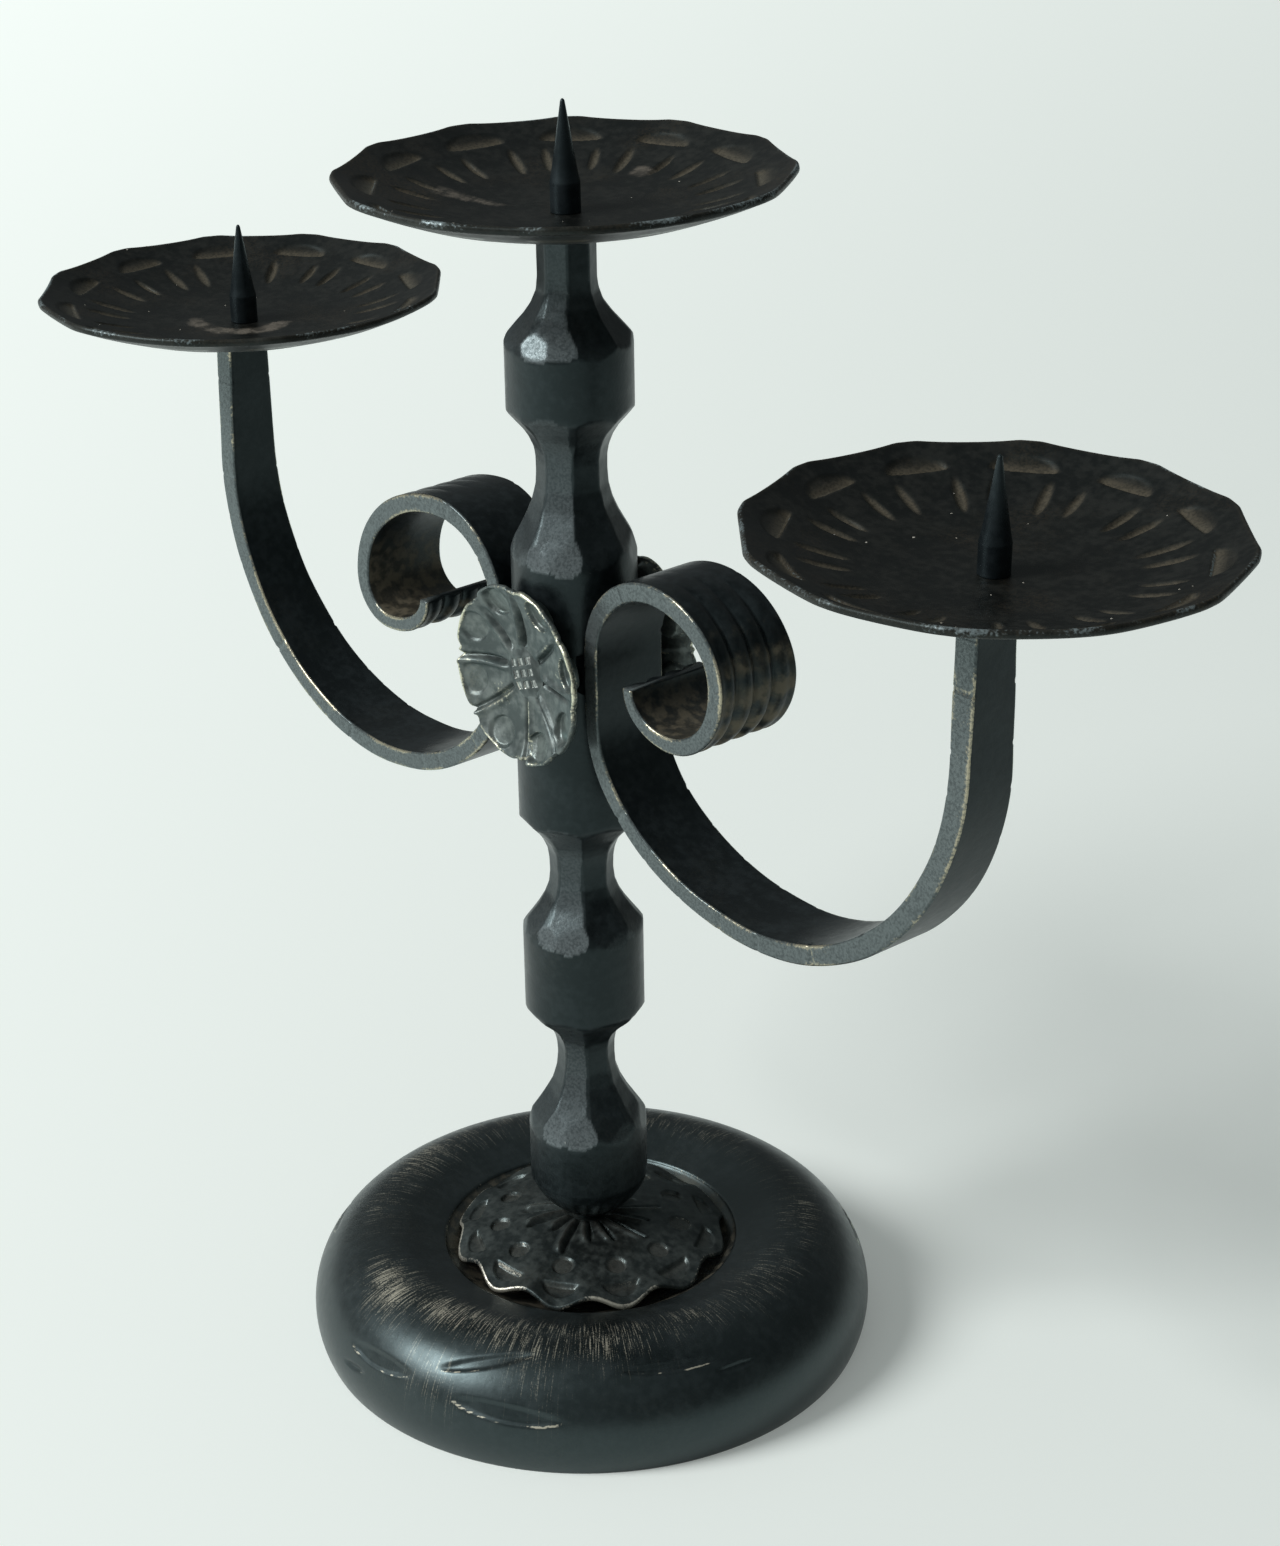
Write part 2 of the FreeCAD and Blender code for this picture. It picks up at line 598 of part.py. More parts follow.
def rivet_head():
    """Return one rivet head on the plane z = 0, bevelled at its edge."""
    head = Part.makeCylinder(RIVET_HEAD_RADIUS, RIVET_HEAD_HEIGHT)
    rim = [edge for edge in head.Edges if abs(edge.CenterOfMass.z - RIVET_HEAD_HEIGHT) < SHANK_CLEARANCE
           and edge.Closed]
    return head.makeChamfer(RIVET_HEAD_BEVEL, rim)


def punched_grid():
    """Return the square punches of the front head, sunk from the plane z = 0."""
    squares = []
    first = -GRID_PITCH * (GRID_COUNT - 1) / 2 - GRID_SQUARE / 2
    for row in range(GRID_COUNT):
        for column in range(GRID_COUNT):
            corner = FreeCAD.Vector(first + GRID_PITCH * column, first + GRID_PITCH * row, -GRID_DEPTH)
            squares.append(Part.makeBox(GRID_SQUARE, GRID_SQUARE, GRID_DEPTH + OVERRUN, corner))
    return turned(Part.makeCompound(squares), GRID_TURN)


def rosette_rivet():
    """Return the rivet through both rosettes and the stem, its front head punched."""
    seat = rosette_seat() + ROSETTE_SHEET
    body = upright_cylinder(RIVET_RADIUS, -seat, seat)
    front = rivet_head()
    front.translate(plane_point(0, seat))
    back = front.mirror(CENTRE, UP)
    grid = punched_grid()
    grid.translate(plane_point(0, seat + RIVET_HEAD_HEIGHT))
    body = body.fuse([front.cut(grid), back]).removeSplitter()
    body.rotate(CENTRE, ALONG, QUARTER_TURN)
    body.translate(plane_point(0, ROSETTE_HEIGHT))
    return body


# Pans and spikes

def side_seat(rim_rise, tilt):
    """Return a side pan's seat under its tilted rim as (across, height above the rosettes)."""
    rise = PAN_DEPTH + PAN_SHEET
    lean = math.radians(tilt)
    return (PAN_REACH - rise * math.sin(lean), rim_rise - rise * math.cos(lean))


def placed(shape, seat, tilt, side=1):
    """Return a shape moved from the origin to a seat (across, height) and leant outwards."""
    copy = shape.copy()
    copy.rotate(CENTRE, ACROSS, side * tilt)
    copy.translate(plane_point(side * seat[0], seat[1]))
    return copy


def pan(turn):
    """Return a dished pan on the plane z = 0, with flats and half moons round its rim."""
    sizes = (PAN_FLOOR_RADIUS, PAN_RADIUS, PAN_DEPTH, PAN_SHEET)
    dish = dish_blank(*sizes, SPIKE_TAIL_RADIUS + SHANK_CLEARANCE)
    dish = dish.common(sided_prism(PAN_RADIUS, PAN_FLAT_INSET, PAN_SIDES, turn, PAN_RADIUS))
    point, normal = dish_surface(*sizes, PAN_MOON_RING_RADIUS)
    moon = turned(half_moon(point, normal, PAN_MOON_RADIUS, PAN_MOON_DEPTH), turn)
    return dish.cut(evenly_turned(moon, PAN_SIDES))


def spike():
    """Return a spike with its tail, standing on a pan whose seat is the plane z = 0."""
    shank_top = PAN_SHEET + SPIKE_SHANK
    tip = PAN_SHEET + SPIKE_HEIGHT
    tail = PAN_SHEET - SPIKE_TAIL_LENGTH
    outline = Part.makePolygon([plane_point(0, tail), plane_point(SPIKE_TAIL_RADIUS, tail),
                                plane_point(SPIKE_TAIL_RADIUS, PAN_SHEET),
                                plane_point(SPIKE_RADIUS, PAN_SHEET),
                                plane_point(SPIKE_RADIUS, shank_top),
                                plane_point(SPIKE_TIP_RADIUS, tip), plane_point(0, tip),
                                plane_point(0, tail)])
    return Part.Face(outline).revolve(CENTRE, UP, FULL_TURN)


def pans_and_spikes():
    """Return the three pans and their spikes, by name."""
    places = {
        "top": ((0, STEM_TOP - ROSETTE_HEIGHT), TOP_PAN_TILT, TOP_PAN_TURN, 1),
        "right": (side_seat(RIGHT_RIM_RISE, RIGHT_PAN_TILT), RIGHT_PAN_TILT, SIDE_PAN_TURN, 1),
        "left": (side_seat(LEFT_RIM_RISE, LEFT_PAN_TILT), LEFT_PAN_TILT, SIDE_PAN_TURN, -1),
    }
    pieces = {}
    for name, ((across, rise), tilt, turn, side) in places.items():
        seat = (across, ROSETTE_HEIGHT + rise)
        pieces["pan_" + name] = placed(pan(turn), seat, tilt, side)
        pieces["spike_" + name] = placed(spike(), seat, tilt, side)
    return pieces


def main():
    """Build every piece and write each one as its own file."""
    pieces = {
        "base_shell": base_shell(),
        "base_rosette": base_rosette(),
        "base_spacer": base_spacer(),
        "base_washer": base_washer(),
        "base_nut": base_nut(),
        "stem": stem(),
        "arm_right": arm_right(),
        "arm_left": arm_left(),
        "arm_welds": arm_welds(),
        "rosette_front": small_rosette(-1),
        "rosette_back": small_rosette(1),
        "rosette_rivet": rosette_rivet(),
    }
    pieces.update(pans_and_spikes())
    os.makedirs("parts", exist_ok=True)
    for name, shape in pieces.items():
        shape.exportStep("parts/" + name + ".step")
        box = shape.BoundBox
        print(name, "valid", shape.isValid(), "solids", len(shape.Solids),
              "volume", round(shape.Volume, 1), "box", [round(value, 2) for value in (
                  box.XMin, box.XMax, box.YMin, box.YMax, box.ZMin, box.ZMax)])


if __name__ == "__main__":
    main()
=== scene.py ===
import logging
import math
from dataclasses import astuple, dataclass
from enum import Enum
from typing import Sequence

import bpy
import numpy as np
from mathutils import Matrix, Vector


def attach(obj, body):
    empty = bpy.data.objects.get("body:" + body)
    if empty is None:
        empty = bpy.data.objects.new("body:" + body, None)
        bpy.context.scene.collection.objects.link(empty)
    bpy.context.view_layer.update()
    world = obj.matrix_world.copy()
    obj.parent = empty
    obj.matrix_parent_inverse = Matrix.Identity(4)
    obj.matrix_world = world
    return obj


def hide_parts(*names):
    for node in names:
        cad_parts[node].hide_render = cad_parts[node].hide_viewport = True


# Pricket candle stand of forged iron, in metres. The front rosette faces -Y,
# the arms reach along +X and -X, and angles in fields are in degrees.

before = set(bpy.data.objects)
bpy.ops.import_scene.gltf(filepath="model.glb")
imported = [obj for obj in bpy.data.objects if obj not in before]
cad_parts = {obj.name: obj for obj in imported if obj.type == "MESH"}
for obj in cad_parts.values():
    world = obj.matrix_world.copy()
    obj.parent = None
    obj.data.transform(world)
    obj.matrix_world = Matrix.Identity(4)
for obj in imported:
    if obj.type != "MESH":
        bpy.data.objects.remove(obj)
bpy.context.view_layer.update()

LOG = logging.getLogger("candle_stand")
MM = 0.001
TAU = 2 * math.pi
UP = Vector((0, 0, 1))
NUMBER, GEOMETRY = "NodeSocketFloat", "NodeSocketGeometry"

Points = np.ndarray
Tree = bpy.types.NodeTree
Node = bpy.types.Node
Socket = bpy.types.NodeSocket
Mesh = bpy.types.Mesh
Material = bpy.types.Material
Pair = tuple[float, float]
Triple = tuple[float, float, float]
Rows = tuple[int, int, int]


class Slot(Enum):
    """Material slot names passed with each piece; the script doesn't use them."""

    FORGED = "forged_black_iron"
    PAN = "pan_iron"
    SPIKE = "spike_steel"
    ROSETTE = "rosette_iron"


class Mask(Enum):
    """Point attributes that carry a piece's wear, and on the stem painted highlight, into its material."""

    EDGE = "edge_wear"
    # Mark fill: the floors of punch marks and worn faces, and on the stem painted highlight.
    FLOOR = "mark_floor_and_highlight"
    DIRT = "tan_dirt"
    RUB = "rubbed_patch"


class Value:
    """A number inside a node tree, so that a formula is written as plain arithmetic."""

    def __init__(self, tree: Tree, socket: Socket) -> None:
        """Hold a socket of a tree.

        Args:
            tree: The tree that the formula's nodes go into.
            socket: The output that gives this number.
        """
        self.tree = tree
        self.socket = socket

    def of(self, operation: str, *others: "Value | float") -> "Value":
        """Add one math node.

        Args:
            operation: The math node's operation.
            others: The numbers after this one.

        Returns:
            The node's result.
        """
        node = self.tree.nodes.new("ShaderNodeMath")
        node.operation = operation
        for socket, item in zip(node.inputs, (self, *others)):
            feed(socket, item)
        return Value(self.tree, node.outputs[0])

    def smooth(self, low: "Value | float", high: "Value | float") -> "Value":
        """Return a soft step that climbs from 0 at low to 1 at high.

        Args:
            low: Where the step starts.
            high: Where it ends.

        Returns:
            The step's height, from 0 to 1.
        """
        node = add_node(self.tree, "ShaderNodeMapRange", Value=self, From_Min=low, From_Max=high)
        node.interpolation_type = "SMOOTHSTEP"
        return Value(self.tree, node.outputs["Result"])

    def __add__(self, other: "Value | float") -> "Value":
        """Return the sum."""
        return self.of("ADD", other)

    def __sub__(self, other: "Value | float") -> "Value":
        """Return the difference."""
        return self.of("SUBTRACT", other)

    def __mul__(self, other: "Value | float") -> "Value":
        """Return the product."""
        return self.of("MULTIPLY", other)

    def __truediv__(self, other: "Value | float") -> "Value":
        """Return the quotient."""
        return self.of("DIVIDE", other)

    def taken_from(self, other: float) -> "Value":
        """Return a number less this one."""
        return (self * -1.0) + other

    def hump(self) -> "Value":
        """Return a curve that is 0 where this is 0 or 1 and a quarter where it is a half."""
        return self * self.taken_from(1.0)


Item = Value | float | Sequence[float]


def feed(socket: Socket, item: Item) -> None:
    """Link a value to a socket, or set the socket's own number.

    Args:
        socket: The input to feed.
        item: A value in the socket's tree, or a constant.
    """
    if isinstance(item, Value):
        item.tree.links.new(item.socket, socket)
    else:
        socket.default_value = item


def add_node(tree: Tree, kind: str, **links: Item) -> Node:
    """Add a node and feed its inputs by name, with _ for a space.

    Args:
        tree: The tree that it goes into.
        kind: The node's type.
        links: What each input gets.

    Returns:
        The node.
    """
    made = tree.nodes.new(kind)
    for label, item in links.items():
        feed(made.inputs[label.replace("_", " ")], item)
    return made


def object_place(tree: Tree) -> Value:
    """Return the Object coordinates."""
    return Value(tree, tree.nodes.new("ShaderNodeTexCoord").outputs["Object"])


def axes(vector: Value) -> list[Value]:
    """Return a vector's three numbers."""
    made = add_node(vector.tree, "ShaderNodeSeparateXYZ", Vector=vector)
    return [Value(vector.tree, socket) for socket in made.outputs]


def flat_polar(vector: Value) -> tuple[Value, Value]:
    """Return a vector's distance from the Z axis and its direction round it, in radians."""
    across, along, _ = axes(vector)
    return (across * across + along * along).of("SQRT"), along.of("ARCTAN2", across)


def noise(tree: Tree, scale: Value | float, detail: float, where: Value | None = None) -> Value:
    """Return a noise.

    Args:
        tree: The tree that it goes into.
        scale: How many lumps to a metre.
        detail: How many finer octaves it has.
        where: The vector to read it at, Object coordinates if none is given.

    Returns:
        The noise, from 0 to 1.
    """
    made = add_node(tree, "ShaderNodeTexNoise", Vector=where or object_place(tree), Scale=scale,
                    Detail=detail)
    return Value(tree, made.outputs["Fac"])


class Maker:
    """Builds one node tree with named inputs and outputs."""

    kind = "ShaderNodeTree"

    def __init__(self, name: str, inputs: dict[str, float | str], outputs: dict[str, str]) -> None:
        """Make a tree with its sockets.

        Args:
            name: The tree's name.
            inputs: Each input's default, or its socket type where it isn't a number.
            outputs: Each output's socket type.
        """
        self.tree = bpy.data.node_groups.new(name, self.kind)
        face = self.tree.interface
        for label, given in inputs.items():
            typed = isinstance(given, str)
            socket = face.new_socket(label, in_out="INPUT", socket_type=given if typed else NUMBER)
            if not typed:
                socket.default_value = given
        for label, kind in outputs.items():
            face.new_socket(label, in_out="OUTPUT", socket_type=kind)
        self.entry = self.tree.nodes.new("NodeGroupInput")
        self.exit = self.tree.nodes.new("NodeGroupOutput")

    def given(self, label: str) -> Value:
        """Return one of the tree's inputs."""
        return Value(self.tree, self.entry.outputs[label])

    def put(self, label: str, value: Value) -> None:
        """Feed one of the tree's outputs."""
        feed(self.exit.inputs[label], value)

    def noise(self, label: str, detail: float) -> Value:
        """Return a noise of Object coordinates whose scale is one of the inputs."""
        return noise(self.tree, self.given(label), detail)


# Node groups for the surfaces. A noise's mean is a half, and a step is given as its start and end.

NOISE_MEAN = 0.5
WORN_PATCH_STEP = (0.36, 0.66)
WORN_STEP = (0.42, 0.9)
WORN_LEAST, WORN_GRAIN = 0.3, 1.1
SKIN_FINE, SKIN_PITS, SKIN_WAVE = 0.25, 0.45, 1.6
TONE_PITS, TONE_WAVE = 0.55, 0.45
BRUSH_PATCH_SCALE, BRUSH_SPECK_SCALE = 55.0, 2600.0
BRUSH_PATCH_STEP = (0.30, 0.66)
BRUSH_STEP = (0.585, 0.76)
BRUSH_LINES, BRUSH_SPECKS, BRUSH_RUB = 0.70, 0.30, 0.20


def worn_edges_group() -> Tree:
    """Return the group that breaks an edge attribute up into rubbed spots.

    Returns:
        The group.
    """
    maker = Maker("Worn Edges", {"Edge": 0.0, "Amount": 0.6, "Patch Scale": 60.0, "Grain Scale": 1500.0},
                  {"Mask": NUMBER})
    patch = maker.noise("Patch Scale", 2.0).smooth(*WORN_PATCH_STEP)
    grain = maker.noise("Grain Scale", 2.0)
    rubbed = maker.given("Edge") * (patch * (1 - WORN_LEAST) + WORN_LEAST) * maker.given("Amount")
    maker.put("Mask", (rubbed + (grain - NOISE_MEAN) * WORN_GRAIN).smooth(*WORN_STEP))
    return maker.tree


def forged_skin_group() -> Tree:
    """Return the group with the fine grain and slow undulation of hammered, waxed iron.

    Returns:
        The group.
    """
    maker = Maker("Forged Skin", {"Grain Scale": 1600.0, "Pit Scale": 500.0, "Wave Scale": 120.0},
                  {"Height": NUMBER, "Tone": NUMBER, "Fine": NUMBER})
    fine, pits = maker.noise("Grain Scale", 3.0), maker.noise("Pit Scale", 4.0)
    wave = maker.noise("Wave Scale", 2.0)
    maker.put("Height", fine * SKIN_FINE + pits * SKIN_PITS + wave * SKIN_WAVE)
    maker.put("Tone", pits * TONE_PITS + wave * TONE_WAVE)
    maker.put("Fine", fine)
    return maker.tree


def brushing_group() -> Tree:
    """Return the group of fine scratches that run out from the stand's axis.

    Returns:
        The group.
    """
    maker = Maker("Radial Brushing", {"Rub": 0.0, "Lines": 1150.0, "Run": 130.0}, {"Mask": NUMBER})
    tree = maker.tree
    radius, turn = flat_polar(object_place(tree))
    spread = add_node(tree, "ShaderNodeCombineXYZ", X=turn / TAU * maker.given("Lines"),
                      Y=radius * maker.given("Run"))
    lines = noise(tree, 1.0, 2.0, Value(tree, spread.outputs[0]))
    patches = noise(tree, BRUSH_PATCH_SCALE, 2.0).smooth(*BRUSH_PATCH_STEP)
    specks = noise(tree, BRUSH_SPECK_SCALE, 2.0)
    strength = maker.given("Rub") * (patches * 0.5 + 0.5)
    scratches = lines * BRUSH_LINES + specks * BRUSH_SPECKS + strength * BRUSH_RUB
    maker.put("Mask", scratches.smooth(*BRUSH_STEP) * strength)
    return tree


# Finishes

TONE_STEP = (0.40, 0.66)
FLOOR_GRAIN_STEP = (0.34, 0.62)
WARM_SCALE, WARM_STEP, WARM_GRAIN_STEP = 45.0, (0.48, 0.72), (0.4, 0.62)
DIRT_SCALE, DIRT_PATCH_STEP, DIRT_STEP = 330.0, (0.40, 0.62), (0.28, 1.25)
DIRT_PATCH, DIRT_LEAST, DIRT_GRAIN, DIRT_MOST = 0.45, 0.65, 0.2, 0.8
WORN_METAL, FLOOR_METAL = 0.5, 0.45
TONE_ROUGH, DIRT_ROUGH, FLOOR_ROUGH = 0.3, 0.3, 0.2
PATCH_DETAIL = 3.0


@dataclass(frozen=True)
class Iron:
    """A finish of blackened, waxed and partly rubbed iron."""

    name: str
    dark: Triple
    pale: Triple
    warm: Triple
    rubbed: Triple
    mark: Triple
    warmth: float = 0.25
    wear: float = 0.9
    fill: float = 0.6
    brushed: float = 0.0
    metal: float = 0.25
    gloss: float = 0.42
    grain_depth: float = 0.10
    sheen: float = 0.4
    tint: Triple = (0.74, 0.97, 1.0)
    dirt: Triple = (0.11, 0.092, 0.062)

    def material(self, groups: dict[str, Tree]) -> Material:
        """Build the finish.

        Args:
            groups: The shared node groups by name.

        Returns:
            The material.
        """
        material = bpy.data.materials.new(self.name)
        material.use_nodes = True
        tree = material.node_tree
        shader = tree.nodes["Principled BSDF"]
        skin = self.group(tree, groups["skin"])
        tone, fine = Value(tree, skin.outputs["Tone"]), Value(tree, skin.outputs["Fine"])
        edge = self.group(tree, groups["edges"], Edge=self.read(tree, Mask.EDGE), Amount=self.wear)
        worn = Value(tree, edge.outputs["Mask"])
        # Mark fill: real mark floors and wear, and on the stem's front flat and tips painted highlight.
        floor = self.read(tree, Mask.FLOOR) * (fine.smooth(*FLOOR_GRAIN_STEP) * 0.5 + 0.5) * self.fill
        color = self.blend(tree, tone.smooth(*TONE_STEP), self.dark, self.pale)
        lumps = noise(tree, WARM_SCALE, PATCH_DETAIL).smooth(*WARM_STEP)
        color = self.blend(tree, lumps * fine.smooth(*WARM_GRAIN_STEP) * self.warmth, color, self.warm)
        color = self.blend(tree, floor, color, self.mark)
        if self.brushed > 0:
            brush = self.group(tree, groups["brushing"], Rub=self.read(tree, Mask.RUB))
            scratches = Value(tree, brush.outputs["Mask"]) * self.brushed
            color = self.blend(tree, scratches, color, self.rubbed)
            worn = worn.of("MAXIMUM", scratches)
        color = self.blend(tree, worn, color, self.rubbed)
        patch = noise(tree, DIRT_SCALE, PATCH_DETAIL).smooth(*DIRT_PATCH_STEP)
        dirt = self.read(tree, Mask.DIRT) * (patch * DIRT_PATCH + DIRT_LEAST)
        dirt = (dirt + (fine - NOISE_MEAN) * DIRT_GRAIN).smooth(*DIRT_STEP) * DIRT_MOST
        color = self.blend(tree, dirt, color, self.dirt)
        bare = worn * WORN_METAL + floor * FLOOR_METAL + self.metal
        rough = tone * TONE_ROUGH + dirt * DIRT_ROUGH - floor * FLOOR_ROUGH + (self.gloss - TONE_ROUGH / 2)
        bump = add_node(tree, "ShaderNodeBump", Strength=1.0, Distance=self.grain_depth * MM,
                        Height=Value(tree, skin.outputs["Height"]))
        for label, item in {"Base Color": color, "Specular IOR Level": self.sheen,
                            "Specular Tint": (*self.tint, 1), "Metallic": bare * dirt.taken_from(1.0),
                            "Roughness": rough, "Normal": Value(tree, bump.outputs["Normal"])}.items():
            feed(shader.inputs[label], item)
        return material

    @staticmethod
    def group(tree: Tree, made: Tree, **links: Item) -> Node:
        """Place a node group in a material and feed its inputs by name.

        Args:
            tree: The material's tree.
            made: The node group.
            links: What each of its inputs gets.

        Returns:
            The group's node.
        """
        node = tree.nodes.new("ShaderNodeGroup")
        node.node_tree = made
        for label, item in links.items():
            feed(node.inputs[label], item)
        return node

    @staticmethod
    def read(tree: Tree, mask: Mask) -> Value:
        """Return a point attribute as a value.

        Args:
            tree: The material's tree.
            mask: The attribute.

        Returns:
            Its value.
        """
        node = tree.nodes.new("ShaderNodeAttribute")
        node.attribute_name = mask.value
        return Value(tree, node.outputs["Fac"])

    @staticmethod
    def blend(tree: Tree, share: Value, first: Value | Triple, second: Value | Triple) -> Value:
        """Return a colour between two others.

        Args:
            tree: The material's tree.
            share: 0 for the first colour and 1 for the second.
            first: A colour, or a value that gives one.
            second: A colour, or a value that gives one.

        Returns:
            The mixed colour.
        """
        node = tree.nodes.new("ShaderNodeMix")
        node.data_type = "RGBA"
        feed(node.inputs[0], share)
        for socket, item in zip((node.inputs[6], node.inputs[7]), (first, second)):
            feed(socket, item if isinstance(item, Value) else (*item, 1.0))
        return Value(tree, node.outputs[2])


FORGED_IRON = Iron("forged_black_iron", dark=(0.0045, 0.0062, 0.0070), pale=(0.0135, 0.0175, 0.0190),
                   warm=(0.030, 0.028, 0.022), rubbed=(0.40, 0.37, 0.27), mark=(0.150, 0.176, 0.176),
                   wear=0.95, fill=0.9, metal=0.04, gloss=0.35, sheen=0.34, dirt=(0.165, 0.14, 0.095))
# The stem's mark colour is the pale fill of its lighter facets: wear, and painted highlight on the front flat
# and its tips.
STEM_IRON = Iron("stem_black_iron", dark=(0.0042, 0.0060, 0.0068), pale=(0.0125, 0.0165, 0.0180),
                 warm=(0.026, 0.025, 0.020), rubbed=(0.42, 0.45, 0.43), mark=(0.27, 0.31, 0.32),
                 wear=0.8, fill=0.8, metal=0.04, gloss=0.34, sheen=0.38)
BASE_IRON = Iron("base_black_iron", dark=(0.0030, 0.0042, 0.0046), pale=(0.0095, 0.0120, 0.0128),
                 warm=(0.026, 0.026, 0.020), rubbed=(0.50, 0.475, 0.38), mark=(0.05, 0.055, 0.055),
                 brushed=1.0, metal=0.05, gloss=0.345, grain_depth=0.05, sheen=0.76)
# The pans' rubbed colour is a bluish grey: edge wear, and also painted highlight on the rims.
PAN_IRON = Iron("pan_brown_iron", dark=(0.0043, 0.0045, 0.0041), pale=(0.0150, 0.0150, 0.0132),
                warm=(0.038, 0.028, 0.017), rubbed=(0.24, 0.29, 0.30), mark=(0.15, 0.128, 0.092),
                warmth=0.45, wear=0.95, fill=0.80, metal=0.04, gloss=0.42, grain_depth=0.10, sheen=0.26,
                dirt=(0.16, 0.14, 0.115))
ROSETTE_IRON = Iron("rosette_grey_iron", dark=(0.060, 0.072, 0.070), pale=(0.150, 0.170, 0.162),
                    warm=(0.15, 0.135, 0.095), rubbed=(0.68, 0.67, 0.52), mark=(0.235, 0.27, 0.25),
                    metal=0.5, gloss=0.40, grain_depth=0.16, warmth=0.3)
RIVET_IRON = Iron("rivet_bright_iron", dark=(0.045, 0.052, 0.050), pale=(0.11, 0.125, 0.12),
                  warm=(0.12, 0.105, 0.08), rubbed=(0.75, 0.74, 0.66), mark=(0.42, 0.44, 0.42),
                  metal=0.5, gloss=0.40, warmth=0.2, fill=0.9)
FLOWER_IRON = Iron("base_rosette_iron", dark=(0.010, 0.012, 0.0115), pale=(0.046, 0.052, 0.049),
                   warm=(0.045, 0.039, 0.028), rubbed=(0.55, 0.53, 0.45), mark=(0.13, 0.13, 0.115),
                   metal=0.3, gloss=0.38, warmth=0.4, fill=0.8, grain_depth=0.18, sheen=0.7)
SPIKE_STEEL = Iron("spike_blue_black", dark=(0.008, 0.011, 0.013), pale=(0.016, 0.021, 0.024),
                   warm=(0.03, 0.026, 0.02), rubbed=(0.20, 0.22, 0.23), mark=(0.02, 0.02, 0.02),
                   warmth=0.1, gloss=0.32, grain_depth=0.04)
FIXING_STEEL = Iron("zinc_plated_steel", dark=(0.30, 0.30, 0.28), pale=(0.46, 0.46, 0.43),
                    warm=(0.25, 0.22, 0.17), rubbed=(0.6, 0.6, 0.56), mark=(0.3, 0.3, 0.3),
                    metal=0.85, gloss=0.34, grain_depth=0.03)
WAX_CRUMB = Iron("wax_crumbs", dark=(0.42, 0.40, 0.34), pale=(0.62, 0.60, 0.54),
                 warm=(0.4, 0.33, 0.22), rubbed=(0.7, 0.7, 0.6), mark=(0.5, 0.5, 0.5), metal=0.0, gloss=0.5)


# Meshes


def ring_faces(rows: int, columns: int, closed: bool) -> Points:
    """Return the quads of a grid whose rows are closed rings.

    Args:
        rows: Number of rings.
        columns: Points in each ring.
        closed: Whether the last ring joins the first.

    Returns:
        Corner indices, one quad to a row.
    """
    first = np.arange(rows if closed else rows - 1)[:, None] * columns
    step = np.arange(columns)[None, :]
    after = (step + 1) % columns
    next_row = (first + columns) % (rows * columns)
    return np.stack([first + step, first + after, next_row + after, next_row + step], -1).reshape(-1, 4)


def signed_volume(points: Points, faces: Points) -> float:
    """Return six times the volume that quads enclose, negative when they face inwards."""
    a, b, c, d = (points[faces[:, corner]] for corner in range(4))
    return float(np.einsum("ij,ij->", np.cross(a, b), c) + np.einsum("ij,ij->", np.cross(a, c), d))


def set_points(mesh: Mesh, name: str, amounts: Points) -> None:
    """Store a number for each point of a mesh as an attribute."""
    attribute = mesh.attributes.new(name, "FLOAT", "POINT")
    attribute.data.foreach_set("value", amounts.astype(np.float32).ravel())


def placed(name: str, data: bpy.types.ID) -> bpy.types.Object:
    """Return a new object of some data, linked to the scene.

    Args:
        name: The object's name.
        data: Its mesh, camera or light.

    Returns:
        The object.
    """
    made = bpy.data.objects.new(name, data)
    bpy.context.scene.collection.objects.link(made)
    return made


def grid_mesh(name: str, rings: Points, masks: dict[Mask, Points], closed: bool = True) -> Mesh:
    """Make a watertight mesh from rings of points.

    Args:
        name: The mesh's name.
        rings: Points as (ring, point in the ring, xyz), in metres.
        masks: Point attributes as (ring, point) arrays. The others are 0.
        closed: Whether the last ring joins the first; otherwise both ends get a cap.

    Returns:
        The mesh, smooth shaded and facing outwards.
    """
    rows, columns = rings.shape[:2]
    points = rings.reshape(-1, 3)
    faces = ring_faces(rows, columns, closed)
    flipped = signed_volume(points, faces) < 0
    polygons = (faces[:, ::-1] if flipped else faces).tolist()
    if not closed:
        first = list(range(columns))
        last = list(range((rows - 1) * columns, rows * columns))
        polygons += [first, last[::-1]] if flipped else [first[::-1], last]
    mesh = bpy.data.meshes.new(name)
    mesh.from_pydata(points.tolist(), [], polygons)
    for mask in Mask:
        set_points(mesh, mask.value, np.broadcast_to(masks.get(mask, 0.0), (rows, columns)))
    mesh.shade_smooth()
    return mesh


def round_angles(count: int) -> Points:
    """Return the directions of a ring's points, in radians."""
    return np.linspace(0, TAU, count, endpoint=False)


def soft_least(choices: Points, softness: float) -> Points:
    """Return the least of several surfaces along the last axis, with rounded joins."""
    least = choices.min(-1, keepdims=True)
    return least[..., 0] - softness * np.log(np.exp(-(choices - least) / softness).sum(-1))


def ripple(angles: Points, seed: int, lobes: Sequence[int]) -> Points:
    """Return a gentle hand-made waviness round a circle, about -1 to 1.

    Args:
        angles: Where to read it, in radians.
        seed: Which waviness.
        lobes: How many waves each layer has to the turn.

    Returns:
        The waviness at each angle.
    """
    random = np.random.default_rng(seed)
    return sum(np.sin(count * angles + random.uniform(0, TAU)) for count in lobes) / len(lobes)


def turn_gap(angles: Points, middle: float) -> Points:
    """Return the signed angle from a direction, in radians from -pi to pi."""
    return (angles - middle + math.pi) % TAU - math.pi


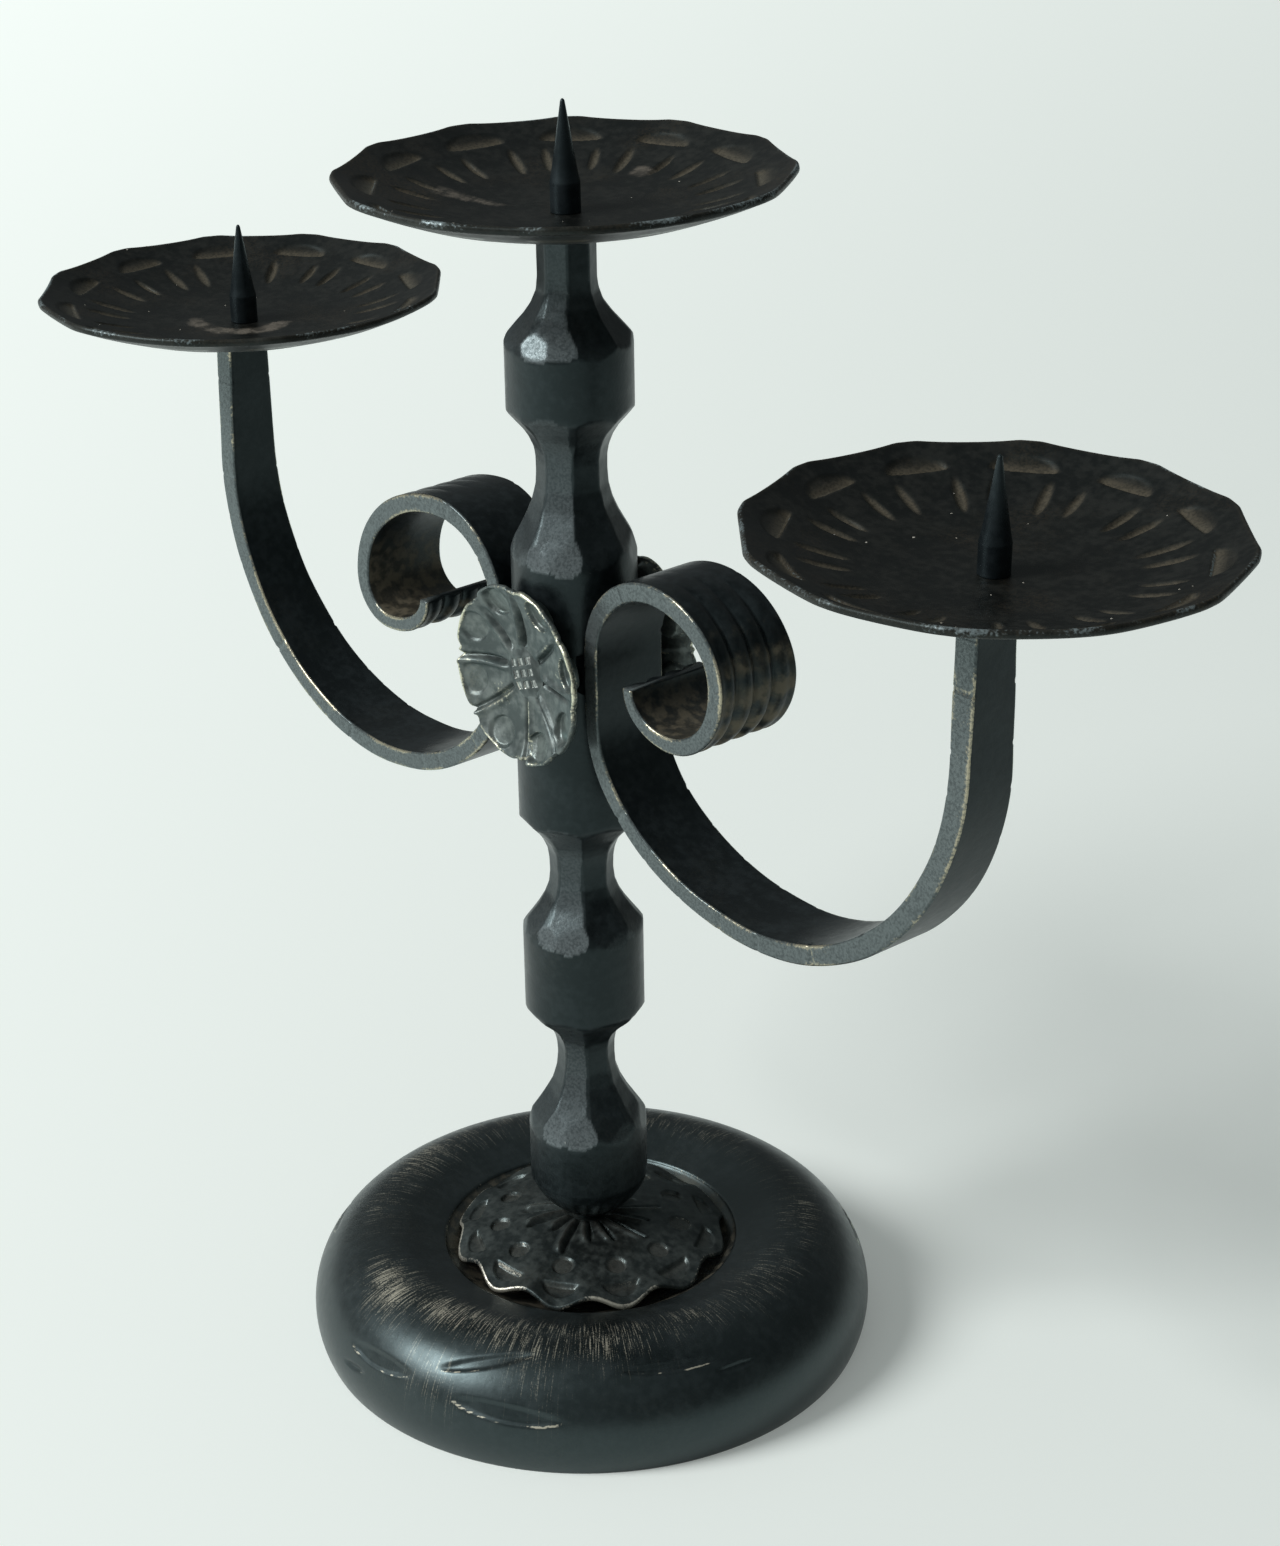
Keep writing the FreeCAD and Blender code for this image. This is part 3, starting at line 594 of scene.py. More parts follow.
def polar(radius: Points, angles: Points, height: Points) -> Points:
    """Return points from their radius, angle and height, stretched to one shape."""
    return np.stack(np.broadcast_arrays(radius * np.cos(angles), radius * np.sin(angles), height), -1)


def bell(value: Points, width: float) -> Points:
    """Return 1 at zero, falling off over a width."""
    return np.exp(-(value / width) ** 2)


def smooth_step(value: Points, low: float, high: float) -> Points:
    """Return 0 below low and 1 above high, with a soft climb between."""
    share = np.clip((value - low) / (high - low), 0, 1)
    return share * share * (3 - 2 * share)


# Geometry Nodes. A salt keeps two draws of one tree apart.

SEED_STRIDE = 17.0
HUMP_GAIN = 4.0
PUNCH_STRAY, PUNCH_SIZE_STRAY, PUNCH_WALL = 0.12, 0.3, -0.12
CHORD_STEP, CHORD_SLOPE, CHORD_LIP_LOSS = (-0.00050, 0.00030), 0.6, 0.75
FACING_STEP = (0.0, 0.4)
MOON_FADE_STEP, MOON_FADE = (0.0, 0.75), 0.90
CHISEL_STRAY, CHISEL_LIP = 0.7, 3.2
CRUMB_FACING = 0.6
CRUMB_LEAST, CRUMB_MOST = (0.3, 0.3, 0.15), (1.0, 1.2, 0.4)


class TreeMaker(Maker):
    """Builds one Geometry Nodes tree with named inputs and runs it on a mesh."""

    kind = "GeometryNodeTree"

    def __init__(self, name: str, numbers: dict[str, float]) -> None:
        """Make the tree with a geometry input, a material input and number inputs.

        Args:
            name: The tree's name.
            numbers: The number inputs and their defaults.
        """
        super().__init__(name, {"Geometry": GEOMETRY, "Material": "NodeSocketMaterial", **numbers},
                         {"Geometry": GEOMETRY})

    def add(self, kind: str, **links: Item) -> Value:
        """Add a node as add_node does and return its first output."""
        return Value(self.tree, add_node(self.tree, kind, **links).outputs[0])

    def attribute(self, name: str) -> Value:
        """Return a number attribute of the geometry."""
        return self.add("GeometryNodeInputNamedAttribute", Name=name)

    def random(self, index: Value, salt: float) -> Value:
        """Return a steady random number from 0 to 1 for a whole number and the tree's seed.

        Args:
            index: The whole number.
            salt: What keeps this draw apart from others.

        Returns:
            The random number.
        """
        made = self.tree.nodes.new("ShaderNodeTexWhiteNoise")
        made.noise_dimensions = "1D"
        feed(made.inputs["W"], index + self.given("Seed") * SEED_STRIDE + salt)
        return Value(self.tree, made.outputs["Value"])

    def stray(self, index: Value, salt: float) -> Value:
        """Return a steady random number from -0.5 to 0.5."""
        return self.random(index, salt) - 0.5

    def marked(self, geometry: Value, mask: Mask, amount: Value) -> Value:
        """Return the geometry with a mask raised to at least an amount."""
        raised = self.attribute(mask.value).of("MAXIMUM", amount)
        return self.add("GeometryNodeStoreNamedAttribute", Geometry=geometry, Name=mask.value, Value=raised)

    def moved(self, offset: Value) -> Value:
        """Return the tree's geometry with its points moved."""
        return self.add("GeometryNodeSetPosition", Geometry=self.given("Geometry"), Offset=offset)

    def finish(self, geometry: Value) -> "TreeMaker":
        """End the tree in Realize Instances and Set Material.

        Args:
            geometry: What comes out of the tree.

        Returns:
            The finished tree.
        """
        real = self.add("GeometryNodeRealizeInstances", Geometry=geometry)
        done = self.add("GeometryNodeSetMaterial", Geometry=real, Material=self.given("Material"))
        self.put("Geometry", done)
        return self

    def run(self, mesh: Mesh, material: Material, **numbers: float) -> Mesh:
        """Run the tree on a mesh.

        Args:
            mesh: The geometry that goes in.
            material: The finish of what comes out.
            numbers: Inputs by name, with _ for a space.

        Returns:
            A plain mesh of the result.
        """
        piece = placed("tree_bench", mesh)
        modifier = piece.modifiers.new("tree", "NODES")
        modifier.node_group = self.tree
        given = {label.replace("_", " "): number for label, number in numbers.items()}
        given["Material"] = material
        for socket in self.tree.interface.items_tree:
            if socket.in_out == "INPUT" and socket.name in given:
                modifier[socket.identifier] = given[socket.name]
        graph = bpy.context.evaluated_depsgraph_get()
        graph.update()
        made = bpy.data.meshes.new_from_object(piece.evaluated_get(graph), preserve_all_data_layers=True,
                                               depsgraph=graph)
        piece.modifiers.remove(modifier)
        bpy.data.objects.remove(piece)
        return made


def punched_ring_tree() -> TreeMaker:
    """Return the tree that presses a ring of punch marks into a sheet that lies across Z.

    Returns:
        The tree, finished.
    """
    maker = TreeMaker("Punched Ring", {"Count": 12, "Turn": 0, "Ring Radius": 0.04, "Half Length": 0.005,
                                       "Half Width": 0.005, "Depth": 0.0006, "Straight": 0, "Softness": 0.3,
                                       "Jitter": 0.4, "Edge": 1.0, "Floor": 1.0, "Seed": 1})
    radius, turn = flat_polar(maker.add("GeometryNodeInputPosition"))
    sector = maker.given("Count").of("POWER", -1.0) * TAU
    angle = turn - maker.given("Turn")
    index = (angle / sector).of("ROUND")
    name = index.of("FLOORED_MODULO", maker.given("Count"))
    jitter, straight = maker.given("Jitter"), maker.given("Straight")
    local = angle - index * sector + maker.stray(name, 0.3) * jitter * sector * PUNCH_STRAY
    size = maker.stray(name, 5.3) * jitter * PUNCH_SIZE_STRAY + 1.0
    outward = radius * local.of("COSINE") - maker.given("Ring Radius")
    far_out = outward / (maker.given("Half Length") * size)
    far_side = radius * local.of("SINE") / (maker.given("Half Width") * size)
    inside = (far_out * far_out + far_side * far_side).taken_from(1.0)
    body = inside.smooth(PUNCH_WALL, maker.given("Softness"))
    chord = outward.smooth(*CHORD_STEP)
    kept = (chord.taken_from(1.0) * straight).taken_from(1.0)
    slope = (far_out.of("MAXIMUM", 0.0) * straight * CHORD_SLOPE).taken_from(1.0)
    deep = maker.stray(name, 9.1) * jitter + 1.0
    struck = axes(maker.add("GeometryNodeInputNormal"))[2].smooth(*FACING_STEP)
    press = body * kept * slope * deep * struck * maker.given("Depth")
    moved = maker.moved(maker.add("ShaderNodeCombineXYZ", Z=press * -1.0))
    lip = body.hump() * kept * HUMP_GAIN * (straight * -CHORD_LIP_LOSS + 1.0)
    cut = chord.hump() * body * straight * HUMP_GAIN
    edge = lip.of("MAXIMUM", cut) * maker.given("Edge") * (maker.random(name, 2.7) * 0.5 + 0.5)
    shown = maker.marked(moved, Mask.EDGE, edge)
    fade = (outward / maker.given("Half Length")).smooth(*MOON_FADE_STEP) * straight * MOON_FADE
    shown = maker.marked(shown, Mask.FLOOR, body * kept * fade.taken_from(1.0) * maker.given("Floor"))
    return maker.finish(shown)


def chisel_marks_tree() -> TreeMaker:
    """Return the tree that cuts shallow cross marks into a bar's narrow faces.

    Returns:
        The tree, finished.
    """
    maker = TreeMaker("Chisel Marks", {"Spacing": 0.0125, "Half Width": 0.0008, "Depth": 0.00045, "Seed": 1})
    run, narrow = maker.attribute("run"), maker.attribute("narrow")
    steps = run / maker.given("Spacing")
    index = steps.of("ROUND")
    gap = (steps - index + maker.stray(index, 0.7) * CHISEL_STRAY) * maker.given("Spacing")
    fall = (gap / maker.given("Half Width")).of("ABSOLUTE").taken_from(1.0).smooth(0.0, 1.0)
    force = maker.random(index, 3.1)
    push = maker.tree.nodes.new("ShaderNodeVectorMath")
    push.operation = "SCALE"
    feed(push.inputs[0], maker.add("GeometryNodeInputNormal"))
    feed(push.inputs["Scale"], fall * narrow * force * maker.given("Depth") * -1.0)
    moved = maker.moved(Value(maker.tree, push.outputs[0]))
    return maker.finish(maker.marked(moved, Mask.EDGE, fall.hump() * narrow * force * CHISEL_LIP))


def crumbs_tree() -> TreeMaker:
    """Return the tree that scatters flattened crumbs over the upward faces of a mesh.

    Returns:
        The tree, finished.
    """
    maker = TreeMaker("Crumbs", {"Density": 3000, "Size": 0.0005, "Seed": 1})
    upward = axes(maker.add("GeometryNodeInputNormal"))[2].of("GREATER_THAN", CRUMB_FACING)
    seed = maker.given("Seed").of("ROUND")
    points = maker.add("GeometryNodeDistributePointsOnFaces", Mesh=maker.given("Geometry"),
                       Density=maker.given("Density"), Selection=upward, Seed=seed)
    ball = maker.add("GeometryNodeMeshIcoSphere", Radius=maker.given("Size"), Subdivisions=1)
    chance = maker.tree.nodes.new("FunctionNodeRandomValue")
    chance.data_type = "FLOAT_VECTOR"
    feed(chance.inputs[0], CRUMB_LEAST)
    feed(chance.inputs[1], CRUMB_MOST)
    feed(chance.inputs["Seed"], seed)
    return maker.finish(maker.add("GeometryNodeInstanceOnPoints", Points=points, Instance=ball,
                                  Scale=Value(maker.tree, chance.outputs[0])))


class Forge:
    """Holds the finishes and trees, and turns meshes into named pieces of the stand."""

    finishes = (FORGED_IRON, STEM_IRON, BASE_IRON, PAN_IRON, ROSETTE_IRON, RIVET_IRON, FLOWER_IRON,
                SPIKE_STEEL, FIXING_STEEL, WAX_CRUMB)

    def __init__(self) -> None:
        """Build every shared node group, finish and tree."""
        groups = {"edges": worn_edges_group(), "skin": forged_skin_group(), "brushing": brushing_group()}
        self.materials = {finish.name: finish.material(groups) for finish in self.finishes}
        self.punch = punched_ring_tree()
        self.chisel = chisel_marks_tree()
        self.crumbs = crumbs_tree()

    def look(self, finish: Iron) -> Material:
        """Return a finish's material."""
        return self.materials[finish.name]

    def piece(self, name: str, mesh: Mesh, finish: Iron, slot: Slot, nodes: Sequence[str],
              place: Matrix | None = None) -> None:
        """Make a piece that stands for nodes of the frame and rides on the stand.

        Args:
            name: The piece's name.
            mesh: Its mesh.
            finish: Its finish.
            slot: Its material slot; not used.
            nodes: The nodes that it replaces, if any.
            place: Where the mesh goes, if it isn't in place yet.
        """
        if place is not None:
            mesh.transform(place)
        mesh.materials.clear()
        mesh.materials.append(self.look(finish))
        mesh.name = name
        made = placed(name, mesh)
        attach(made, "root")
        if nodes:
            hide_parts(*nodes)
        LOG.info("%s: %d faces", name, len(mesh.polygons))


# Sheet pieces: pans, base and rosettes

LIP_WEAR = 0.0004
LIP_ROUNDING = 0.45


@dataclass(frozen=True)
class Dish:
    """The arc of a dished round sheet, hollow side up on the plane z = 0."""

    flat: float
    rim: float
    depth: float
    sheet: float
    hole: float

    def side(self, radius: Points, under: float = 0.0) -> Points:
        """Return the height of the hollow side at a radius, or of a side that far under it.

        Args:
            radius: Where to read it.
            under: How far under the hollow side it lies.

        Returns:
            The height at each radius.
        """
        run = self.rim - self.flat
        climb = (run * run + self.depth * self.depth) / (2 * self.depth)
        out = np.maximum(radius - self.flat, 0)
        return self.sheet + climb - np.sqrt((climb + under) ** 2 - out ** 2)

    def rings(self, angles: Points, rim: Points, rows: Rows) -> tuple[Points, Points, Points]:
        """Return the closed skin of the dish.

        Args:
            angles: Directions of the columns, in radians.
            rim: The rim's radius in each direction.
            rows: Rings on the hollow side, round the rim's edge and on the outer side.

        Returns:
            Points as (ring, column, xyz), each point's radius, and each ring's nearness to the lip.
        """
        top_rows, lip_rows, back_rows = rows
        lip = LIP_ROUNDING * self.sheet
        edge = rim - lip
        top_share = 1 - (1 - np.linspace(0, 1, top_rows)[:, None]) ** 1.15
        top_radius = self.hole + (edge - self.hole) * top_share
        back_radius = self.hole + (edge - self.hole) * np.linspace(1, 0, back_rows)[:, None]
        turn = np.linspace(math.pi / 2, -math.pi / 2, lip_rows + 2)[1:-1, None]
        high, low = self.side(edge), self.side(edge, self.sheet)
        lip_radius = edge + lip * np.cos(turn)
        lip_height = (high + low) / 2 + (high - low) / 2 * np.sin(turn)
        radius = np.concatenate([top_radius, lip_radius, back_radius])
        height = np.concatenate([self.side(top_radius), lip_height, self.side(back_radius, self.sheet)])
        near = np.concatenate([bell(edge - top_radius, LIP_WEAR), 0.7 + 0.3 * np.sin(turn) + 0 * lip_radius,
                               0 * back_radius])
        return polar(radius, angles, height), radius, near


@dataclass(frozen=True)
class Stain:
    """A patch of wax or scratches on a pan: direction, radius, half sizes and strength."""

    direction: float
    radius: float
    half_turn: float
    half_width: float
    strength: float = 1.0

    def at(self, radius: Points, angles: Points) -> Points:
        """Return the stain's strength at points of the pan.

        Args:
            radius: The points' distances from the pan's middle.
            angles: Their directions, in radians.

        Returns:
            The strength at each point.
        """
        local = np.degrees(turn_gap(angles, math.radians(self.direction))) / self.half_turn
        far = (radius - self.radius) / self.half_width
        return self.strength * bell(local ** 2, 1.0) * bell(far ** 2, 1.0)


@dataclass(frozen=True)
class Pan:
    """A dished pan with twelve half-moon punches and twelve pairs of radial grooves."""

    name: str
    node: str
    turn: float
    middle: Pair
    tilt: float
    seed: int
    lean: float = 0.0
    stains: tuple[Stain, ...] = ()
    dish: Dish = Dish(0.010, 0.0528, 0.0108, 0.0017, 0.00205)
    sides: int = 12
    inset: float = 0.0012
    rim_rounding: float = 0.00008
    warp: float = 0.00010
    dents: float = 0.00012
    droop: float = 0.0003
    wax: float = 0.00010
    moon_ring: float = 0.0434
    moon_length: float = 0.0046
    moon_width: float = 0.0070
    moon_depth: float = 0.0009
    groove_ring: float = 0.0350
    groove_spread: float = 6.0
    groove_length: float = 0.0056
    groove_width: float = 0.00125
    groove_depth: float = 0.0008
    rows: Rows = (108, 7, 22)
    columns: int = 480

    def rim(self, angles: Points) -> Points:
        """Return the rim's radius, which stands out at each punch and is flat between.

        Args:
            angles: Where to read it, in radians.

        Returns:
            The radius in each direction.
        """
        sector = TAU / self.sides
        gap = (angles - math.radians(self.turn) + sector / 2) % sector - sector / 2
        apothem = self.dish.rim - self.inset
        flat = apothem / np.cos(sector / 2 - np.abs(gap))
        made = soft_least(np.stack([flat, np.full_like(flat, self.dish.rim)], -1), self.rim_rounding)
        return made - self.rim_rounding * (1 + ripple(angles, self.seed, (3, 5, 11)))

    def place(self) -> Matrix:
        """Return the pan's place from its seat on the plane z = 0.

        Returns:
            The way from the drawing to the stand.
        """
        across, height = self.middle
        rise = self.dish.depth + self.dish.sheet
        tilt, lean = (Matrix.Rotation(math.radians(angle), 4, axis)
                      for angle, axis in ((self.tilt, "Y"), (self.lean, "X")))
        return Matrix.Translation((across, 0, height)) @ (tilt @ lean) @ Matrix.Translation((0, 0, -rise))

    def build(self, forge: Forge) -> None:
        """Build the pan and the crumbs that lie in it.

        Args:
            forge: What turns meshes into pieces.
        """
        angles = round_angles(self.columns)
        rings, radius, near = self.dish.rings(angles, self.rim(angles), self.rows)
        wave = ripple(angles, self.seed + 1, (2, 3, 7)) * self.warp
        turn = math.radians(self.turn)
        bumps = np.cos(self.sides * (angles - turn)) * self.dents
        rings[..., 2] -= (radius / self.dish.rim) ** 3 * (self.droop - wave + bumps)
        dirt = sum((stain.at(radius, angles) for stain in self.stains), np.zeros(radius.shape))
        rings[..., 2] += self.wax * dirt * (1 + ripple(angles * 3 + radius * 900, self.seed, (5, 9)))
        shine = 0.5 + 0.5 * ripple(angles, self.seed + 5, (2, 5, 13, 31))
        # Rim lip: edge wear, whose bluish rubbed colour is also painted highlight.
        masks = {Mask.EDGE: near * (0.45 + 0.5 * shine), Mask.FLOOR: 0.12 * near, Mask.DIRT: dirt}
        mesh = grid_mesh(self.name, rings, masks)
        look = forge.look(PAN_IRON)
        mesh = forge.punch.run(mesh, look, Count=self.sides, Turn=turn, Ring_Radius=self.moon_ring,
                               Half_Length=self.moon_length, Half_Width=self.moon_width,
                               Depth=self.moon_depth, Straight=1.0, Softness=0.28, Edge=1.0, Seed=self.seed)
        for side in (-1, 1):
            middle = turn + math.pi / self.sides + side * math.radians(self.groove_spread)
            mesh = forge.punch.run(mesh, look, Count=self.sides, Turn=middle, Ring_Radius=self.groove_ring,
                                   Half_Length=self.groove_length, Half_Width=self.groove_width,
                                   Depth=self.groove_depth, Softness=0.9, Jitter=0.8, Edge=0.35, Floor=0.9,
                                   Seed=self.seed + 3 + side)
        crumbs = forge.crumbs.run(mesh, forge.look(WAX_CRUMB), Density=1500, Size=0.00032, Seed=self.seed)
        forge.piece(self.name, mesh, PAN_IRON, Slot.PAN, [self.node], self.place())
        forge.piece(self.name + "_crumbs", crumbs, WAX_CRUMB, Slot.PAN, [], self.place())


@dataclass(frozen=True)
class Spike:
    """A blackened spike with a straight foot, a long taper and a blunt point."""

    name: str
    node: str
    pan: Pan
    radius: float = 0.0035
    foot: float = 0.0060
    height: float = 0.02549
    tip: float = 0.00045
    tail_radius: float = 0.002
    tail: float = 0.013
    blunt: float = 0.0006
    rows: int = 90
    columns: int = 48

    def build(self, forge: Forge) -> None:
        """Build the spike.

        Args:
            forge: What turns meshes into pieces.
        """
        sheet = self.pan.dish.sheet
        angles = round_angles(self.columns)
        shown = np.linspace(sheet, sheet + self.height, self.rows)
        heights = np.concatenate([[sheet - self.tail, sheet - 0.0001], shown])
        past_foot = heights - sheet - self.foot
        above = np.clip(past_foot / (self.height - self.foot), 0, 1)
        radius = self.radius + (self.tip - self.radius) * above
        radius *= 1 + 0.05 * bell(past_foot, 0.002)
        radius = np.minimum(radius, self.radius)
        radius[:2] = self.tail_radius
        end = np.clip((heights - sheet - self.height + self.blunt) / self.blunt, 0, 1)
        radius = radius * np.sqrt(np.clip(1 - 0.85 * end ** 2, 0.05, 1))
        facets = 1 - 0.02 * above[:, None] * (1 + ripple(angles, self.pan.seed, (7, 9))) / 2
        rings = polar(radius[:, None] * facets, angles, heights[:, None])
        wear = 0.5 * end + 0.3 * bell(past_foot, 0.0005)
        mesh = grid_mesh(self.name, rings, {Mask.EDGE: wear[:, None]}, closed=False)
        forge.piece(self.name, mesh, SPIKE_STEEL, Slot.SPIKE, [self.node], self.pan.place())


@dataclass(frozen=True)
class BaseShell:
    """The hollow base: a pressed ring with a sunken well and a few stray hammer marks."""

    ring: float = 0.05246
    tube: float = 0.0200
    tube_height: float = 0.0080
    well_height: float = 0.0190
    fillet: float = 0.0040
    sheet: float = 0.0020
    hole: float = 0.00305
    well_edge: float = 0.0372
    well_floor: float = 0.0270
    inner_slope: float = 17.0
    lip: float = 0.0012
    mark_depth: float = 0.00055
    wall_slope: float = 70.0
    rows: tuple[int, int, int, int] = (96, 22, 9, 18)
    inner_rows: tuple[int, int] = (34, 8)
    columns: int = 384
    # Leaf-shaped marks as (direction, height angle on the ring, half length, half width, slant)
    marks: tuple[tuple[float, float, float, float, float], ...] = (
        (271.0, 27.5, 0.0115, 0.0023, 4.0), (296.0, 55.0, 0.0128, 0.0017, 22.0),
        (302.5, 23.0, 0.0148, 0.0025, -3.0), (337.5, 53.0, 0.0124, 0.0011, -4.0),
        (264.0, 10.0, 0.0045, 0.0009, 8.0), (352.0, 41.0, 0.0060, 0.0009, -3.0),
        (60.0, 30.0, 0.0110, 0.0020, 5.0), (118.0, 42.0, 0.0130, 0.0018, -6.0),
        (171.0, 26.0, 0.0120, 0.0022, 3.0), (214.0, 36.0, 0.0120, 0.0018, 8.0))
    # Rubbed patches as (direction, height angle, half turn, half rise, strength)
    rubs: tuple[tuple[float, float, float, float, float], ...] = (
        (260.0, 73.0, 12.0, 22.0, 1.0), (280.0, 85.0, 16.0, 18.0, 0.72), (301.0, 80.0, 17.0, 26.0, 0.80),
        (322.0, 84.0, 16.0, 22.0, 0.62), (346.0, 92.0, 15.0, 18.0, 0.50), (18.0, 92.0, 20.0, 22.0, 0.48),
        (285.0, 40.0, 10.0, 24.0, 0.36), (308.0, 42.0, 8.0, 22.0, 0.30), (60.0, 80.0, 30.0, 22.0, 0.40),
        (120.0, 82.0, 34.0, 22.0, 0.45), (190.0, 80.0, 36.0, 24.0, 0.55))

    def outer_skin(self) -> tuple[Points, Points]:
        """Return the radius and height along the outer skin from the floor to the well's floor.

        Returns:
            The radius and the height of each ring.
        """
        ring_rows, slope_rows, lip_rows, wall_rows = self.rows
        lean = math.radians(self.inner_slope)
        ring = np.linspace(-math.asin(self.tube_height / self.tube), math.pi / 2 + lean, ring_rows)
        last = self.ring - self.tube * math.sin(lean)
        slope = np.linspace(last, self.well_edge + self.lip, slope_rows)[1:]
        drop = self.tube_height + self.tube * math.cos(lean) - (last - slope) * math.tan(lean)
        over = lean + np.linspace(0, 1, lip_rows)[1:] * (math.radians(self.wall_slope) - lean)
        lip_radius = slope[-1] - self.lip * (np.sin(over) - math.sin(lean))
        lip_height = drop[-1] - self.lip * (math.cos(lean) - np.cos(over))
        share = np.linspace(0, 1, wall_rows)[1:]
        wall_radius = lip_radius[-1] + (self.well_floor - lip_radius[-1]) * share
        wall_height = self.well_height + (lip_height[-1] - self.well_height) * (1 - share) ** 1.5
        radius = np.concatenate([self.ring + self.tube * np.cos(ring), slope, lip_radius, wall_radius])
        height = np.concatenate([self.tube_height + self.tube * np.sin(ring), drop, lip_height, wall_height])
        return radius, height

    def inner_skin(self) -> tuple[Points, Points]:
        """Return the radius and height along the inner skin from the floor to the well's underside.

        Returns:
            The radius and the height of each ring.
        """
        tube, fillet = self.tube - self.sheet, self.fillet + self.sheet
        climb = self.well_height + self.fillet - self.tube_height
        run = math.sqrt((tube + fillet) ** 2 - climb ** 2)
        meeting = math.atan2(climb, -run)
        ring = np.linspace(-math.asin(self.tube_height / tube), meeting, self.inner_rows[0])
        bend = np.linspace(meeting - math.pi, -math.pi / 2, self.inner_rows[1])[1:]
        radius = np.concatenate([self.ring + tube * np.cos(ring), self.ring - run + fillet * np.cos(bend)])
        height = np.concatenate([self.tube_height + tube * np.sin(ring),
                                 self.well_height + self.fillet + fillet * np.sin(bend)])
        return radius, height

    def round_ring(self, rings: Points) -> tuple[Points, Points, Points]:
        """Return each point's distance from the axis, way out of the ring's middle and height angle.

        Args:
            rings: Points of the base's skin.

        Returns:
            The three, each as (ring, point).
        """
        flat = np.hypot(rings[..., 0], rings[..., 1])
        out = np.stack([flat - self.ring, rings[..., 2] - self.tube_height], -1)
        return flat, out, np.degrees(np.arctan2(out[..., 1], out[..., 0]))

    def pressed(self, rings: Points, angles: Points) -> Points:
        """Press the hammer marks into the outer skin and return how near each point is to a mark's lip.

        Args:
            rings: The outer skin, which is changed.
            angles: Directions of its columns, in radians.

        Returns:
            Press the hammer marks into the outer skin and return how near each point is to a mark's lower
            lip, which is painted lighter as highlight and edge wear.
        """
        flat, out, lift = self.round_ring(rings)
        lip, depth = np.zeros(lift.shape), np.zeros(lift.shape)
        for direction, rise, length, width, slant in self.marks:
            sideways = turn_gap(angles, math.radians(direction)) * flat
            upward = np.radians(lift - rise) * self.tube
            lean = math.radians(slant)
            along = (sideways * math.cos(lean) + upward * math.sin(lean)) / length
            across = (upward * math.cos(lean) - sideways * math.sin(lean)) / width
            inside = 1 - along ** 2 - across ** 2
            depth += self.mark_depth * smooth_step(inside, -0.05, 0.6)
            # Lower lip only, the side that faces up to the light: painted highlight as well as edge wear.
            lip = np.maximum(lip, 1.6 * bell(inside - 0.08, 0.13) * smooth_step(-across, -0.3, 0.6))
        normal = out / np.linalg.norm(out, axis=-1, keepdims=True)
        rings[..., 0] -= depth * normal[..., 0] * np.cos(angles)
        rings[..., 1] -= depth * normal[..., 0] * np.sin(angles)
        rings[..., 2] -= depth * normal[..., 1]
        return lip

    def rubbed(self, rings: Points, angles: Points) -> Points:
        """Return how rubbed each point of the skin is, from the patches on the crest.

        Args:
            rings: Points of the base's skin.
            angles: Directions of its columns, in radians.

        Returns:
            The rubbing, from 0 to 1.
        """
        lift = self.round_ring(rings)[2]
        made = np.zeros(lift.shape)
        for direction, rise, turn, reach, strength in self.rubs:
            aside = np.degrees(turn_gap(angles, math.radians(direction))) / turn
            made = np.maximum(made, strength * np.exp(-(aside ** 2 + ((lift - rise) / reach) ** 2)))
        return made

    def build(self, forge: Forge) -> None:
        """Build the base.

        Args:
            forge: What turns meshes into pieces.
        """
        angles = round_angles(self.columns)
        radius, height = self.outer_skin()
        inner_radius, inner_height = self.inner_skin()
        outer = polar(radius[:, None], angles, height[:, None])
        lip = self.pressed(outer, angles)
        floor_radius = np.linspace(radius[-1], self.hole, 8)[1:]
        roof_radius = np.linspace(self.hole, inner_radius[-1], 5)[:-1]
        low = self.well_height - self.sheet
        rest_radius = np.concatenate([floor_radius, roof_radius, inner_radius[::-1]])
        rest_height = np.concatenate([np.full(len(floor_radius), self.well_height),
                                      np.full(len(roof_radius), low), inner_height[::-1]])
        rest = polar(rest_radius[:, None], angles, rest_height[:, None])
        rings = np.concatenate([outer, rest])
        edge = np.concatenate([lip, np.zeros(rest.shape[:2])])
        out = np.hypot(rings[..., 0], rings[..., 1])
        upward = np.arange(len(rings))[:, None] < len(radius)
        # A pale line round the well's lip: painted highlight of the fold, and also edge wear.
        edge = np.maximum(edge, 0.55 * bell(out - self.well_edge - self.lip / 2, 0.0005) * upward)
        dirt = 0.8 * smooth_step(self.well_edge + 0.001 - out, 0, 0.0008) * upward
        rub = self.rubbed(rings, angles) * upward
        mesh = grid_mesh("base_ring", rings, {Mask.EDGE: edge, Mask.DIRT: dirt, Mask.RUB: rub})
        forge.piece("base_ring", mesh, BASE_IRON, Slot.FORGED, ["base_shell"])


